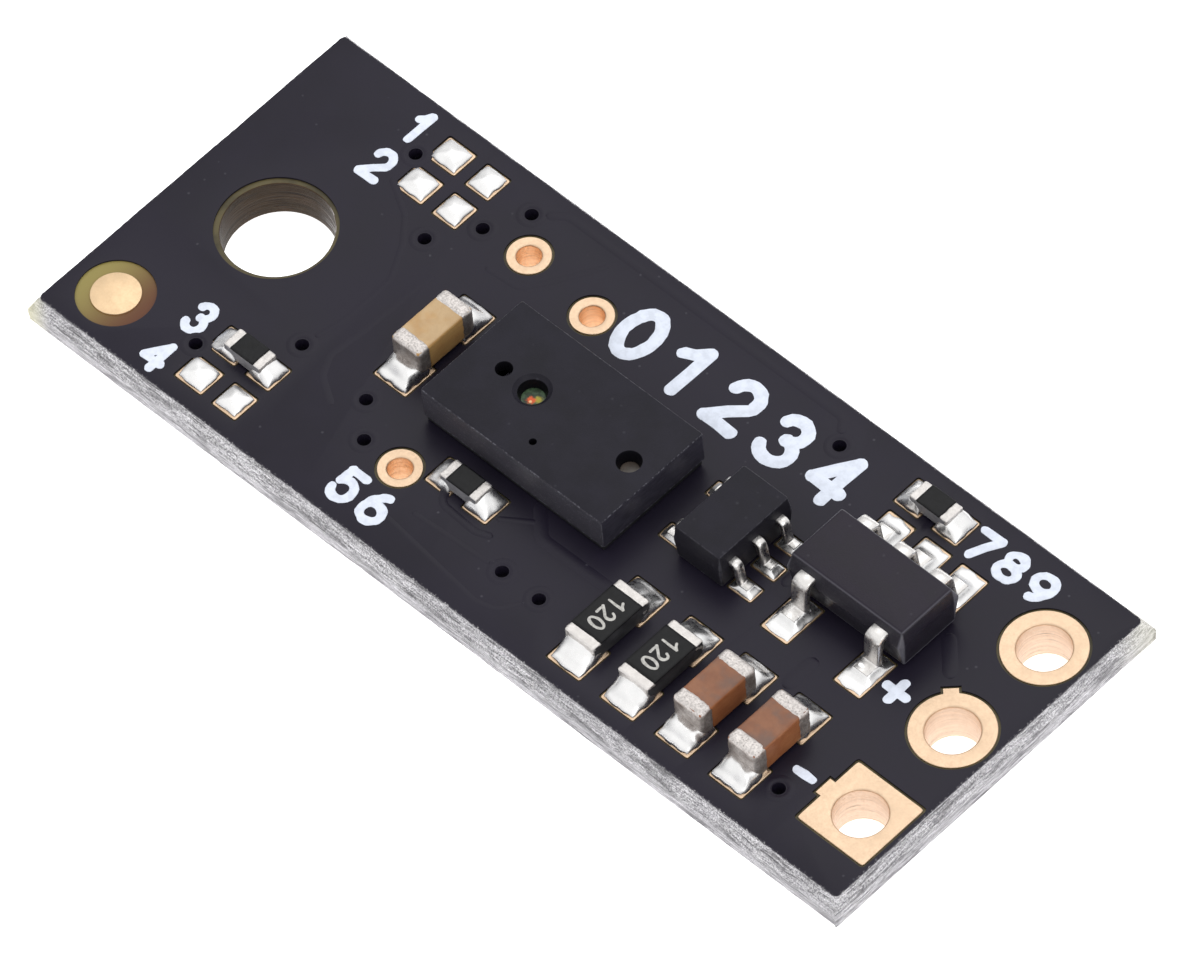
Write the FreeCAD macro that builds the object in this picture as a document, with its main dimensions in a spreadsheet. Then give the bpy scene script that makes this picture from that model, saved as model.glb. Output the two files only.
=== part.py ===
import FreeCAD, Part
import os
import re
import Sketcher

# Distance sensor module: a small V-scored circuit board that carries an optical sensor,
# a voltage regulator, a logic chip, five resistors and three capacitors.
# X runs along the board towards the three header holes, Y across it, and Z up from the
# underside. The origin is at the middle of the underside.

SIZES = (
    ("board_length", 21.6, "between the snapped edges"),
    ("board_width", 8.9, "between the snapped edges"),
    ("supply_share", 0.75, "supply line, as a share of the way from the middle to the header's end"),
    ("logic_share", 0.5, "logic line, as a share of the same way"),
    ("sensor_share", 0.3, "sensor line, as a share of the same way"),
    ("jumper_share", -0.1, "jumper line, as a share of the same way"),
    ("laminate_thickness", 0.92, "glass fibre laminate without its films"),
    ("mask_thickness", 0.04, "solder mask film on each face"),
    ("copper_thickness", 0.035, "copper and gold of a land"),
    ("mask_clearance", 0.05, "bare ring of laminate round a land"),
    ("score_depth", 0.33, "depth of the V score into each face"),
    ("score_inset_side", 0.21, "half mouth of the V score along the long edges"),
    ("score_inset_end", 0.16, "half mouth of the V score along the short edges"),
    ("mount_place", 2.51, "mounting hole, from the far end"),
    ("mount_radius", 1.125, "drilled mounting hole"),
    ("mount_front_radius", 1.216, "edge of the front film round the mounting hole"),
    ("mount_back_radius", 1.3, "edge of the back film round the mounting hole"),
    ("header_place", -1.14, "row of header holes, from the header's end"),
    ("header_pitch", 2.54, "between header holes"),
    ("header_hole_radius", 0.54, "finished header hole"),
    ("header_pad_radius", 0.864, "round header land"),
    ("header_square", 1.695, "side of the square header land"),
    ("plating", 0.03, "copper on the wall of a plated hole"),
    ("tab_width", 0.4, "traces that join the header lands"),
    ("tab_reach", 0.12, "how far a trace shows past its land"),
    ("tab_angle", 135, "direction of the trace at the middle land"),
    ("test_pad_radius", 0.449, "test land"),
    ("test_hole_radius", 0.25, "hole of a test land"),
    ("left_test_x", -4.157, "test land"),
    ("left_test_y", 2.761, "test land"),
    ("right_test_place", -5.47, "test land, from the sensor line"),
    ("right_test_y", 2.52, "test land"),
    ("enable_test_place", -5.73, "test land of the enable line, from the sensor line"),
    ("enable_test_y", -2.524, "test land of the enable line"),
    ("via_radius", 0.14, "open bore of a via"),
    ("via_wall", 0.03, "copper wall of a via"),
    ("fiducial_place", 1.24, "alignment dot, from the far end"),
    ("fiducial_edge", 1.275, "from the long edge to the alignment dot"),
    ("fiducial_radius", 0.511, "alignment dot"),
    ("fiducial_opening", 0.803, "window in the mask round the alignment dot"),
    ("jumper_place", -5.37, "middle of the jumper lands, from the jumper line"),
    ("jumper_gap", 0.3, "between a pair of jumper lands"),
    ("jumper_left_length", 0.72, "left jumper land"),
    ("jumper_right_length", 0.62, "right jumper land"),
    ("jumper_width", 0.64, "jumper lands, across the board"),
    ("jumper_edge", 0.95, "from the long edges to the outer rows of jumper lands"),
    ("jumper_pitch", 0.92, "between rows of jumper lands"),
    ("dome_rim", 0.03, "bare gold round a solder dome"),
    ("dome_rise", 0.16, "height of a solder dome"),
    ("dome_radius", 0.72, "ball that rounds a solder dome"),
    ("solder_film", 0.02, "gap that solder fills under each part"),
    ("fillet_hollow", 0.8, "radius of a solder fillet as a share of its chord"),
    ("fillet_lip", 0.03, "edge of a solder fillet at the end of its land"),
    ("wrap_thickness", 0.025, "metal of an end cap"),
    ("small_length", 1.0, "1005 size chip part"),
    ("small_width", 0.5, "1005 size chip part"),
    ("small_height", 0.35, "1005 size resistor"),
    ("small_wrap", 0.22, "end cap of a 1005 size resistor"),
    ("small_climb", 0.24, "solder on the end of a 1005 size resistor"),
    ("small_land_length", 0.63, "land of a 1005 size part"),
    ("small_land_width", 0.7, "land of a 1005 size part"),
    ("small_land_gap", 0.36, "between the lands of a 1005 size part"),
    ("big_length", 1.56, "1608 size chip part"),
    ("big_width", 0.8, "1608 size chip part"),
    ("big_height", 0.45, "1608 size resistor"),
    ("big_wrap", 0.27, "end cap of a 1608 size resistor"),
    ("big_climb", 0.3, "solder on the end of a 1608 size resistor"),
    ("big_land_length", 0.85, "land of a 1608 size part"),
    ("big_land_width", 0.86, "land of a 1608 size part"),
    ("big_land_gap", 0.8, "between the lands of a 1608 size part"),
    ("capacitor_height", 0.78, "1608 size capacitor"),
    ("capacitor_wrap", 0.38, "end cap of a capacitor"),
    ("capacitor_climb", 0.36, "solder on the end of a capacitor"),
    ("capacitor_corner", 0.09, "rounding of an end cap"),
    ("ceramic_corner", 0.05, "rounding of a capacitor's ceramic"),
    ("middle_resistor_place", -4.38, "resistor in front of the sensor, from the sensor line"),
    ("middle_resistor_y", -2.06, "resistor in front of the sensor"),
    ("right_resistor_place", -2.13, "resistor beside the OUT land, from the supply line"),
    ("right_resistor_y", 3.5, "resistor beside the OUT land"),
    ("first_divider_place", -2.27, "first 1608 resistor, from the logic line"),
    ("second_divider_place", -0.86, "second 1608 resistor, from the logic line"),
    ("divider_y", -2.6, "both 1608 resistors"),
    ("first_brown_place", -2.19, "first brown capacitor, from the supply line"),
    ("second_brown_place", -0.78, "second brown capacitor, from the supply line"),
    ("brown_y", -2.54, "both brown capacitors"),
    ("tan_x", -4.02, "tan capacitor"),
    ("tan_y", 0.0, "tan capacitor"),
    ("sensor_place", -3.77, "middle of the sensor, from the sensor line"),
    ("sensor_length", 4.82, "sensor"),
    ("sensor_width", 2.82, "sensor"),
    ("sensor_height", 0.98, "sensor above its solder"),
    ("substrate_thickness", 0.2, "circuit board of the sensor"),
    ("substrate_inset", 0.06, "step between the sensor's cap and its circuit board"),
    ("cap_wall", 0.28, "side walls of the sensor's cap"),
    ("cap_roof", 0.26, "top wall of the sensor's cap"),
    ("cap_edge", 0.03, "bevel round the top of the cap"),
    ("barrier_x", 0.95, "light barrier inside the cap"),
    ("barrier_thickness", 0.3, "light barrier inside the cap"),
    ("reference_edge", 0.88, "small round aperture, from the cap's end"),
    ("reference_radius", 0.175, "small round aperture"),
    ("receiver_edge", 1.64, "large aperture, from the same end"),
    ("receiver_mouth", 0.39, "outer rim of the large aperture"),
    ("receiver_rim_depth", 0.07, "bevel of the large aperture"),
    ("receiver_bore", 0.3, "large aperture under its bevel"),
    ("receiver_throat", 0.24, "large aperture at the inside of the roof"),
    ("emitter_edge", 0.61, "medium aperture, from the other end"),
    ("emitter_mouth", 0.26, "outer rim of the medium aperture"),
    ("emitter_throat", 0.19, "medium aperture at the inside of the roof"),
    ("vent_x", 0.09, "vent of the cap"),
    ("vent_y", -0.88, "vent of the cap"),
    ("vent_radius", 0.075, "vent of the cap"),
    ("die_end_clearance", 0.46, "from the receiver's silicon to the ends of its chamber"),
    ("die_side_clearance", 0.48, "from the receiver's silicon to the sides of its chamber"),
    ("receiver_die_height", 0.3, "silicon of the receiver"),
    ("filter_size", 0.9, "colour filter on the receiver"),
    ("emitter_width", 0.7, "emitter's block"),
    ("emitter_clearance", 0.165, "from the emitter's block to the ends of its chamber"),
    ("inner_gap", 0.02, "between the roof and what lies under it"),
    ("sensor_pitch", 0.75, "lands under the sensor"),
    ("sensor_land_length", 0.5, "lands under the sensor, across the board"),
    ("sensor_land_width", 0.4, "lands under the sensor"),
    ("sensor_land_row", 1.08, "rows of lands from the sensor's middle"),
    ("regulator_place", -1.55, "regulator, from the supply line"),
    ("regulator_y", 1.15, "regulator"),
    ("regulator_length", 2.95, "moulding at its parting line"),
    ("regulator_width", 1.66, "moulding at its parting line"),
    ("regulator_top", 1.07, "top of the moulding above its feet"),
    ("regulator_parting", 0.72, "parting line above the feet"),
    ("regulator_bottom", 0.08, "gap under the moulding"),
    ("regulator_end_draft", 0.03, "slope of the ends"),
    ("regulator_side_draft", 0.12, "slope of the long sides"),
    ("regulator_pitch", 0.95, "between leads"),
    ("regulator_span", 2.8, "from toe to toe"),
    ("regulator_foot", 0.36, "flat foot of a lead"),
    ("regulator_lead_width", 0.38, "lead"),
    ("regulator_lead_thickness", 0.16, "lead"),
    ("regulator_root", 0.2, "lead inside the moulding"),
    ("regulator_bend", 0.06, "inner bend of a lead"),
    ("regulator_land_length", 1.04, "land across the board"),
    ("regulator_land_width", 0.68, "land along the board"),
    ("regulator_land_row", 1.27, "rows of lands from the middle"),
    ("regulator_mound", 0.13, "height of the solder round a foot"),
    ("logic_place", -1.86, "logic chip, from the logic line"),
    ("logic_y", 0.45, "logic chip"),
    ("logic_length", 2.0, "moulding at its parting line"),
    ("logic_width", 1.25, "moulding at its parting line"),
    ("logic_top", 0.95, "top of the moulding above its feet"),
    ("logic_parting", 0.54, "parting line above the feet"),
    ("logic_bottom", 0.05, "gap under the moulding"),
    ("logic_end_draft", 0.04, "slope of the ends"),
    ("logic_side_draft", 0.04, "slope of the long sides"),
    ("logic_pitch", 0.65, "between leads"),
    ("logic_span", 2.1, "from toe to toe"),
    ("logic_foot", 0.24, "flat foot of a lead"),
    ("logic_lead_width", 0.2, "lead"),
    ("logic_lead_thickness", 0.12, "lead"),
    ("logic_root", 0.15, "lead inside the moulding"),
    ("logic_bend", 0.04, "inner bend of a lead"),
    ("logic_land_length", 0.6, "land along the board"),
    ("logic_land_width", 0.38, "land across the board"),
    ("logic_land_row", 0.91, "rows of lands from the middle"),
    ("logic_mound", 0.1, "height of the solder round a foot"),
    ("mound_slope", 0.07, "how far a solder mound narrows to its top"),
)

# Pieces whose place along the board is given from a line across it, with that line
FOLLOW = (
    ("mount", "-1"),
    ("jumper", "jumper_share"),
    ("fiducial", "-1"),
    ("header", "1"),
    ("regulator", "supply_share"),
    ("first_brown", "supply_share"),
    ("second_brown", "supply_share"),
    ("right_resistor", "supply_share"),
    ("logic", "logic_share"),
    ("first_divider", "logic_share"),
    ("second_divider", "logic_share"),
    ("sensor", "sensor_share"),
    ("middle_resistor", "sensor_share"),
    ("right_test", "sensor_share"),
    ("enable_test", "sensor_share"),
)

# Bores that join the two faces, as (name, along the board from a line, across it, that line)
VIAS = (
    ("outer_left", -7.53, 3.07, "0"),
    ("outer_right", -4.8, 3.5, "0"),
    ("inner_left", -5.96, 1.71, "0"),
    ("inner_right", -5.28, 2.63, "0"),
    ("lower_left", -7.53, -3.02, "0"),
    ("lower_inner", -5.96, -1.68, "0"),
    ("enable_left", -4.11, -1.8, "0"),
    ("enable_right", -6.71, -2.51, "sensor_share"),
    ("ground_left", -2.55, -2.99, "sensor_share"),
    ("ground_right", -1.57, -2.99, "sensor_share"),
    ("supply_top", -1.9, 3.41, "logic_share"),
    ("supply_corner", 0.02, -3.15, "supply_share"),
)

doc = FreeCAD.newDocument("distance_sensor_module")
sheet = doc.addObject("Spreadsheet::Sheet", "Sizes")


def fill_sheet():
    rows = list(SIZES)
    for name, along, across, line in VIAS:
        rows.append((f"via_{name}_place", along, "via along the board"))
        rows.append((f"via_{name}_y", across, "via across the board"))
    for row, (alias, number, note) in enumerate(rows, start=1):
        sheet.set(f"A{row}", alias)
        sheet.set(f"B{row}", str(number))
        sheet.setAlias(f"B{row}", alias)
        sheet.set(f"C{row}", note)
    doc.recompute()
    return {alias for alias, number, note in rows}


ALIASES = fill_sheet()

# The place of each such piece along the board, from the middle
ALONG = {f"{name}_x": f"({name}_place + {line} * board_length / 2)" for name, line in FOLLOW}
for name, along, across, line in VIAS:
    ALONG[f"via_{name}_x"] = f"(via_{name}_place + {line} * board_length / 2)"

# How near two places are to count as one, mm
CLOSE = 1e-4


# Formulas are written with plain size names, such as "board_length / 2".
def formula(text):
    def cell(match):
        word = match.group(0)
        if word in ALONG:
            return formula(ALONG[word])
        return f"Sizes.{word}" if word in ALIASES else word
    return re.sub(r"[a-z_]+", cell, text)


def value(text):
    return float(sheet.evalExpression(formula(text)))


def bind(thing, **sizes):
    for name, text in sizes.items():
        thing.setExpression(name, formula(text))


def put(thing, x="0", y="0", z="0", turn=0):
    axis = FreeCAD.Vector(0, 0, 1)
    thing.Placement = FreeCAD.Placement(FreeCAD.Vector(), FreeCAD.Rotation(axis, turn))
    for direction, text in (("x", x), ("y", y), ("z", z)):
        thing.setExpression(f"Placement.Base.{direction}", formula(text))
    return thing


# A block is centred on x and y and stands on z.
def block(label, length, width, height, x="0", y="0", z="0"):
    box = doc.addObject("Part::Box", label)
    bind(box, Length=length, Width=width, Height=height)
    return put(box, f"({x}) - ({length}) / 2", f"({y}) - ({width}) / 2", z)


def rod(label, radius, height, x="0", y="0", z="0"):
    cylinder = doc.addObject("Part::Cylinder", label)
    bind(cylinder, Radius=radius, Height=height)
    return put(cylinder, x, y, z)


def join(label, things):
    fused = doc.addObject("Part::MultiFuse", label)
    fused.Shapes = things
    return fused


def group(label, things):
    together = doc.addObject("Part::Compound", label)
    together.Links = things
    return together


def cut(label, base, tool):
    rest = doc.addObject("Part::Cut", label)
    rest.Base = base
    rest.Tool = tool
    return rest


def origin_feature(body, role):
    return next(feature for feature in body.Origin.OriginFeatures if feature.Role == role)


def sketch_on(body, label, role):
    sketch = body.newObject("Sketcher::SketchObject", label)
    sketch.AttachmentSupport = [(origin_feature(body, role), "")]
    sketch.MapMode = "FlatFace"
    return sketch


def constrain(sketch, kind, geometry, text, *points):
    index = sketch.addConstraint(Sketcher.Constraint(kind, *points, *geometry, value(text)))
    sketch.setExpression(f"Constraints[{index}]", formula(text))


def hold(sketch, geometry, point, x, y):
    constrain(sketch, "DistanceX", (geometry, point), x, -1, 1)
    constrain(sketch, "DistanceY", (geometry, point), y, -1, 1)


def circle(sketch, x, y, radius):
    middle = FreeCAD.Vector(value(x), value(y), 0)
    normal = FreeCAD.Vector(0, 0, 1)
    index = sketch.addGeometry(Part.Circle(middle, normal, value(radius)))
    hold(sketch, index, 3, x, y)
    constrain(sketch, "Radius", (index,), radius)


# A closed outline through corners given as (x, y). A third entry bends the edge that
# leaves the corner into an arc of that radius, hollowed towards the right-hand side.
def outline(sketch, corners):
    first = sketch.GeometryCount
    spots = [FreeCAD.Vector(value(corner[0]), value(corner[1]), 0) for corner in corners]
    ends = []
    for number, corner in enumerate(corners):
        start = spots[number]
        finish = spots[(number + 1) % len(corners)]
        if len(corner) == 2:
            sketch.addGeometry(Part.LineSegment(start, finish))
            ends.append((1, 2))
            continue
        chord = finish - start
        across = FreeCAD.Vector(chord.y, -chord.x, 0).normalize()
        radius = value(corner[2])
        lift = (radius ** 2 - (chord.Length / 2) ** 2) ** 0.5
        middle = start + chord / 2 + across * (radius - lift)
        sketch.addGeometry(Part.Arc(start, middle, finish))
        flipped = (sketch.Geometry[-1].StartPoint - start).Length > (chord.Length / 2)
        ends.append((2, 1) if flipped else (1, 2))
    for number, corner in enumerate(corners):
        following = (number + 1) % len(corners)
        points = (first + number, ends[number][1], first + following, ends[following][0])
        sketch.addConstraint(Sketcher.Constraint("Coincident", *points))
        hold(sketch, first + number, ends[number][0], corner[0], corner[1])
        if len(corner) == 3:
            constrain(sketch, "Radius", (first + number,), corner[2])


def rectangle(sketch, length, width, x="0", y="0"):
    low_x = f"({x}) - ({length}) / 2"
    high_x = f"({x}) + ({length}) / 2"
    low_y = f"({y}) - ({width}) / 2"
    high_y = f"({y}) + ({width}) / 2"
    outline(sketch, [(low_x, low_y), (high_x, low_y), (high_x, high_y), (low_x, high_y)])


def grow(body, kind, label, sketch, length, side="One side"):
    feature = body.newObject(f"PartDesign::{kind}", label)
    feature.Profile = sketch
    feature.SideType = side
    bind(feature, Length=length)
    body.Tip = feature
    return feature


def edges_where(shape, test):
    return [f"Edge{number}" for number, edge in enumerate(shape.Edges, start=1) if test(edge)]


# Heights of the layers
LAMINATE_TOP = "mask_thickness + laminate_thickness"
COPPER_TOP = f"{LAMINATE_TOP} + copper_thickness"
MASK_TOP = f"{LAMINATE_TOP} + mask_thickness"
BACK_COPPER = "mask_thickness - copper_thickness"
SEAT = f"{MASK_TOP} + solder_film"
# from the seat of a part down to the copper of its land
DROP = "(solder_film + mask_thickness - copper_thickness)"

# Rows that keep their distance from the long edges
FIDUCIAL_Y = "fiducial_edge - board_width / 2"
JUMPER_OUTER = "(board_width / 2 - jumper_edge)"
JUMPER_INNER = "(board_width / 2 - jumper_edge - jumper_pitch)"

# Middle of the left and right jumper land
JUMPER_LEFT = "jumper_x - (jumper_gap + jumper_left_length) / 2"
JUMPER_RIGHT = "jumper_x + (jumper_gap + jumper_right_length) / 2"

front_windows = []
back_windows = []
lands = []


# A tool that opens a film right through; it stands past both faces of the film.
def window(radius=None, length=None, width=None, x="0", y="0", face="front"):
    tools = front_windows if face == "front" else back_windows
    low = LAMINATE_TOP if face == "front" else "0"
    base = f"{low} - mask_thickness"
    label = f"{face}_window_{len(tools) + 1}"
    if radius:
        tools.append(rod(label, radius, "3 * mask_thickness", x, y, base))
    else:
        tools.append(block(label, length, width, "3 * mask_thickness", x, y, base))


def land(x, y, length, width):
    label = f"land_{len(lands) + 1}"
    lands.append(block(label, length, width, "copper_thickness", x, y, LAMINATE_TOP))
    clear = "+ 2 * mask_clearance"
    window(length=f"{length} {clear}", width=f"{width} {clear}", x=x, y=y)


HEADER_ROWS = (("out", "header_pitch"), ("plus", "0"), ("minus", "-header_pitch"))
TEST_PADS = ("left", "right", "enable")


def build_laminate():
    body = doc.addObject("PartDesign::Body", "laminate")
    plan = sketch_on(body, "board_outline", "XY_Plane")
    rectangle(plan, "board_length", "board_width")
    circle(plan, "mount_x", "0", "mount_radius")
    for name, y in HEADER_ROWS:
        circle(plan, "header_x", y, "header_hole_radius + plating")
    for name in TEST_PADS:
        circle(plan, f"{name}_test_x", f"{name}_test_y", "test_hole_radius + plating")
    for name, *_ in VIAS:
        circle(plan, f"via_{name}_x", f"via_{name}_y", "via_radius + via_wall")
    grow(body, "Pad", "board_blank", plan, "laminate_thickness")
    scores = (
        ("end_scores", "XZ_Plane", "board_length", "score_inset_end", "board_width"),
        ("side_scores", "YZ_Plane", "board_width", "score_inset_side", "board_length"),
    )
    for label, role, reach, inset, run in scores:
        profile = sketch_on(body, f"{label}_profile", role)
        for side in ("-", ""):
            edge = f"{side}({reach}) / 2"
            mouth = f"{side}(({reach}) / 2 - {inset})"
            outline(profile, [(edge, "0"), (mouth, "0"), (edge, "score_depth")])
            deep = "laminate_thickness - score_depth"
            outline(profile, [(edge, "laminate_thickness"), (mouth, "laminate_thickness"), (edge, deep)])
        grow(body, "Pocket", label, profile, run, "Symmetric")
    return put(body, z="mask_thickness")


def build_mask(face):
    label = f"solder_mask_{face}"
    low = LAMINATE_TOP if face == "front" else "0"
    length = "board_length - 2 * score_inset_end"
    width = "board_width - 2 * score_inset_side"
    film = block(f"{label}_film", length, width, "mask_thickness", z=low)
    window(radius=f"mount_{face}_radius", x="mount_x", face=face)
    for name, y in HEADER_ROWS[:2]:
        window(radius="header_pad_radius + mask_clearance", x="header_x", y=y, face=face)
    square = "header_square + 2 * mask_clearance"
    window(length=square, width=square, x="header_x", y="-header_pitch", face=face)
    for name in TEST_PADS:
        ring = "test_pad_radius + mask_clearance"
        window(radius=ring, x=f"{name}_test_x", y=f"{name}_test_y", face=face)
    for name, *_ in VIAS:
        window(radius="via_radius", x=f"via_{name}_x", y=f"via_{name}_y", face=face)
    tools = front_windows if face == "front" else back_windows
    return cut(label, film, join(f"{label}_windows", tools))


# A plated hole: rings on both faces and the barrel that joins them, as one rivet
def build_eyelet(label, hole, pad, x="0", y="0"):
    body = doc.addObject("PartDesign::Body", label)
    section = sketch_on(body, f"{label}_section", "XZ_Plane")
    barrel = f"{hole} + plating"
    corners = (
        (hole, BACK_COPPER),
        (pad, BACK_COPPER),
        (pad, "mask_thickness"),
        (barrel, "mask_thickness"),
        (barrel, LAMINATE_TOP),
        (pad, LAMINATE_TOP),
        (pad, COPPER_TOP),
        (hole, COPPER_TOP),
    )
    outline(section, corners)
    turned = body.newObject("PartDesign::Revolution", f"{label}_turned")
    turned.Profile = section
    turned.ReferenceAxis = (section, ["V_Axis"])
    turned.Angle = 360
    body.Tip = turned
    return put(body, x, y)


# The stub of a trace that shows where it leaves a header land, or the window round it
def build_tab(label, reach, thickness, z, turn, x="0", y="0", grow_by="0"):
    length = f"{reach} + {grow_by}"
    width = f"tab_width + 2 * ({grow_by})"
    strip = block(f"{label}_strip", length, width, thickness, x=f"({length}) / 2", z=z)
    return put(group(label, [strip]), x, y, turn=turn)


def build_header():
    bore_and_pad = ("header_hole_radius", "header_pad_radius")
    pads = [build_eyelet("header_pad_out", *bore_and_pad, "header_x", "header_pitch")]
    square = ("header_square", "header_square", "copper_thickness")
    plates = [
        block("header_pad_minus_top", *square, z=LAMINATE_TOP),
        block("header_pad_minus_bottom", *square, z=BACK_COPPER),
    ]
    kinds = (
        ("plus", "0", "header_pad_radius + tab_reach", value("tab_angle"), []),
        ("minus", "-header_pitch", "header_square / 2 + tab_reach", 180, plates),
    )
    for name, y, reach, turn, extra in kinds:
        label = f"header_pad_{name}"
        tab = build_tab(f"{label}_tab", reach, "copper_thickness", LAMINATE_TOP, turn)
        metal = join(f"{label}_metal", [build_eyelet(f"{label}_rivet", *bore_and_pad), tab, *extra])
        bore = rod(f"{label}_bore", "header_hole_radius", MASK_TOP)
        pads.append(put(cut(label, metal, bore), "header_x", y))
        base = f"{LAMINATE_TOP} - mask_thickness"
        front_windows.append(build_tab(f"{label}_tab_window", reach, "3 * mask_thickness", base,
                                       turn, "header_x", y, "mask_clearance"))
    return pads


def build_via_barrels():
    outer = []
    inner = []
    for name, *_ in VIAS:
        spot = (f"via_{name}_x", f"via_{name}_y", "mask_thickness")
        outer.append(rod(f"via_{name}_metal", "via_radius + via_wall", "laminate_thickness", *spot))
        inner.append(rod(f"via_{name}_bore", "via_radius", "laminate_thickness", *spot))
    metal = group("via_metal", outer)
    return cut("via_barrels", metal, group("via_bores", inner))


def build_fiducial():
    window(radius="fiducial_opening", x="fiducial_x", y=FIDUCIAL_Y)
    spot = ("fiducial_x", FIDUCIAL_Y, LAMINATE_TOP)
    return rod("fiducial_dot", "fiducial_radius", "copper_thickness", *spot)


def build_jumpers():
    domes = []
    rows = (JUMPER_OUTER, JUMPER_INNER, f"-{JUMPER_INNER}", f"-{JUMPER_OUTER}")
    columns = ((JUMPER_LEFT, "jumper_left_length"), (JUMPER_RIGHT, "jumper_right_length"))
    for y in rows:
        for x, length in columns:
            land(x, y, length, "jumper_width")
            if y == f"-{JUMPER_INNER}":  # this pair carries a resistor
                continue
            label = f"dome_{len(domes) + 1}"
            ball = doc.addObject("Part::Sphere", f"{label}_ball")
            bind(ball, Radius="dome_radius")
            put(ball, x, y, f"{COPPER_TOP} + dome_rise - dome_radius")
            base = (f"{length} - 2 * dome_rim", "jumper_width - 2 * dome_rim", "dome_rise")
            patch = block(f"{label}_patch", *base, x, y, COPPER_TOP)
            dome = doc.addObject("Part::Common", label)
            dome.Base = ball
            dome.Tool = patch
            domes.append(dome)
    return group("jumper_solder", domes)


def rounded_block(label, length, width, height, corner, z="0"):
    body = doc.addObject("PartDesign::Body", label)
    plan = sketch_on(body, f"{label}_plan", "XY_Plane")
    rectangle(plan, length, width)
    pad = grow(body, "Pad", f"{label}_pad", plan, height)
    doc.recompute()
    rounding = body.newObject("PartDesign::Fillet", f"{label}_rounding")
    rounding.Base = (pad, edges_where(pad.Shape, lambda edge: True))
    bind(rounding, Radius=corner)
    body.Tip = rounding
    return put(body, z=z)


def lands_in_pair(family, x, y, turn):
    reach = f"({family}_land_gap + {family}_land_length) / 2"
    for side in ("-", "+"):
        if turn:
            land(x, f"{y} {side} {reach}", f"{family}_land_width", f"{family}_land_length")
        else:
            land(f"{x} {side} {reach}", y, f"{family}_land_length", f"{family}_land_width")


# Solder that fills the gap under each end cap and climbs its end
def build_end_solder(label, family, wrap, climb, spot):
    body = doc.addObject("PartDesign::Body", label)
    section = sketch_on(body, f"{label}_section", "XZ_Plane")
    inside = f"{family}_length / 2 - {wrap}"
    face = f"{family}_length / 2"
    outside = f"{family}_land_gap / 2 + {family}_land_length - dome_rim"
    lip = f"fillet_lip - {DROP}"
    chord = f"sqrt(pow({outside} - {face}; 2) + pow({climb} - ({lip}); 2))"
    corners = (
        (inside, f"-{DROP}"),
        (inside, "0"),
        (face, "0"),
        (face, climb, f"fillet_hollow * {chord}"),
        (outside, lip),
        (outside, f"-{DROP}"),
    )
    outline(section, corners)
    pad = grow(body, "Pad", f"{label}_pad", section, f"{family}_width", "Symmetric")
    other = body.newObject("PartDesign::Mirrored", f"{label}_other_end")
    other.Originals = [pad]
    other.MirrorPlane = (origin_feature(body, "YZ_Plane"), [""])
    body.Tip = other
    return put(body, *spot)


def build_resistor(name, family, x, y, turn, own_lands=True):
    spot = (x, y, SEAT, turn)
    length, width, height = f"{family}_length", f"{family}_width", f"{family}_height"
    wrap = f"{family}_wrap"
    if own_lands:
        lands_in_pair(family, x, y, turn)
    inner = f"{length} - 2 * wrap_thickness"
    core = block(f"{name}_core", inner, width, f"{height} - 2 * wrap_thickness", z="wrap_thickness")
    body = put(group(f"{name}_body", [core]), *spot)
    ends = []
    for side in ("-", "+"):
        middle = f"0 {side} ({length} - {wrap}) / 2"
        ends.append(block(f"{name}_end_{len(ends) + 1}", wrap, width, height, x=middle))
    blanks = put(group(f"{name}_ends", ends), *spot)
    terminals = cut(f"{name}_terminals", blanks, body)
    clear = f"{length} - 2 * {wrap}"
    film = block(f"{name}_film", clear, width, "wrap_thickness", z=f"{height} - wrap_thickness")
    coat = put(group(f"{name}_coat", [film]), *spot)
    solder = build_end_solder(f"{name}_solder", family, wrap, f"{family}_climb", spot)
    return [body, coat, terminals, solder]


def build_capacitor(name, x, y, turn):
    spot = (x, y, SEAT, turn)
    lands_in_pair("big", x, y, turn)
    shrink = "- 2 * wrap_thickness"
    sizes = (f"big_length {shrink}", f"big_width {shrink}", f"capacitor_height {shrink}")
    core = rounded_block(f"{name}_core", *sizes, "ceramic_corner", "wrap_thickness")
    body = put(group(f"{name}_body", [core]), *spot)
    full = ("big_length", "big_width", "capacitor_height")
    blank = put(rounded_block(f"{name}_blank", *full, "capacitor_corner"), *spot)
    middle = block(f"{name}_waist", "big_length - 2 * capacitor_wrap", "2 * big_width",
                   "2 * capacitor_height", z="-capacitor_height / 2")
    waist = put(group(f"{name}_between", [middle]), *spot)
    terminals = cut(f"{name}_terminals", blank, join(f"{name}_tools", [body, waist]))
    solder = build_end_solder(f"{name}_solder", "big", "capacitor_wrap", "capacitor_climb", spot)
    return [body, terminals, solder]


# The two halves of a mould meet at the parting line, where both are widest.
def mould_half(label, length, width, draft_end, draft_side, low, high, widest):
    half = doc.addObject("Part::Wedge", label)
    inner = (f"({length}) / 2 - {draft_end}", f"({width}) / 2 - {draft_side}")
    outer = (f"({length}) / 2", f"({width}) / 2")
    bottom, top = (inner, outer) if widest == "top" else (outer, inner)
    bind(half, Xmin=f"-({bottom[0]})", Xmax=bottom[0], Zmin=f"-({bottom[1]})", Zmax=bottom[1])
    bind(half, X2min=f"-({top[0]})", X2max=top[0], Z2min=f"-({top[1]})", Z2max=top[1])
    bind(half, Ymin=low, Ymax=high)
    upright = FreeCAD.Rotation(FreeCAD.Vector(1, 0, 0), 90)
    half.Placement = FreeCAD.Placement(FreeCAD.Vector(), upright)
    return half


# Gull-wing leads, as (row, its side of the package, places in pitches)
LEAD_ROWS = (("far", "", ("-1", "0", "1")), ("near", "-", ("-1", "1")))


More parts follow.
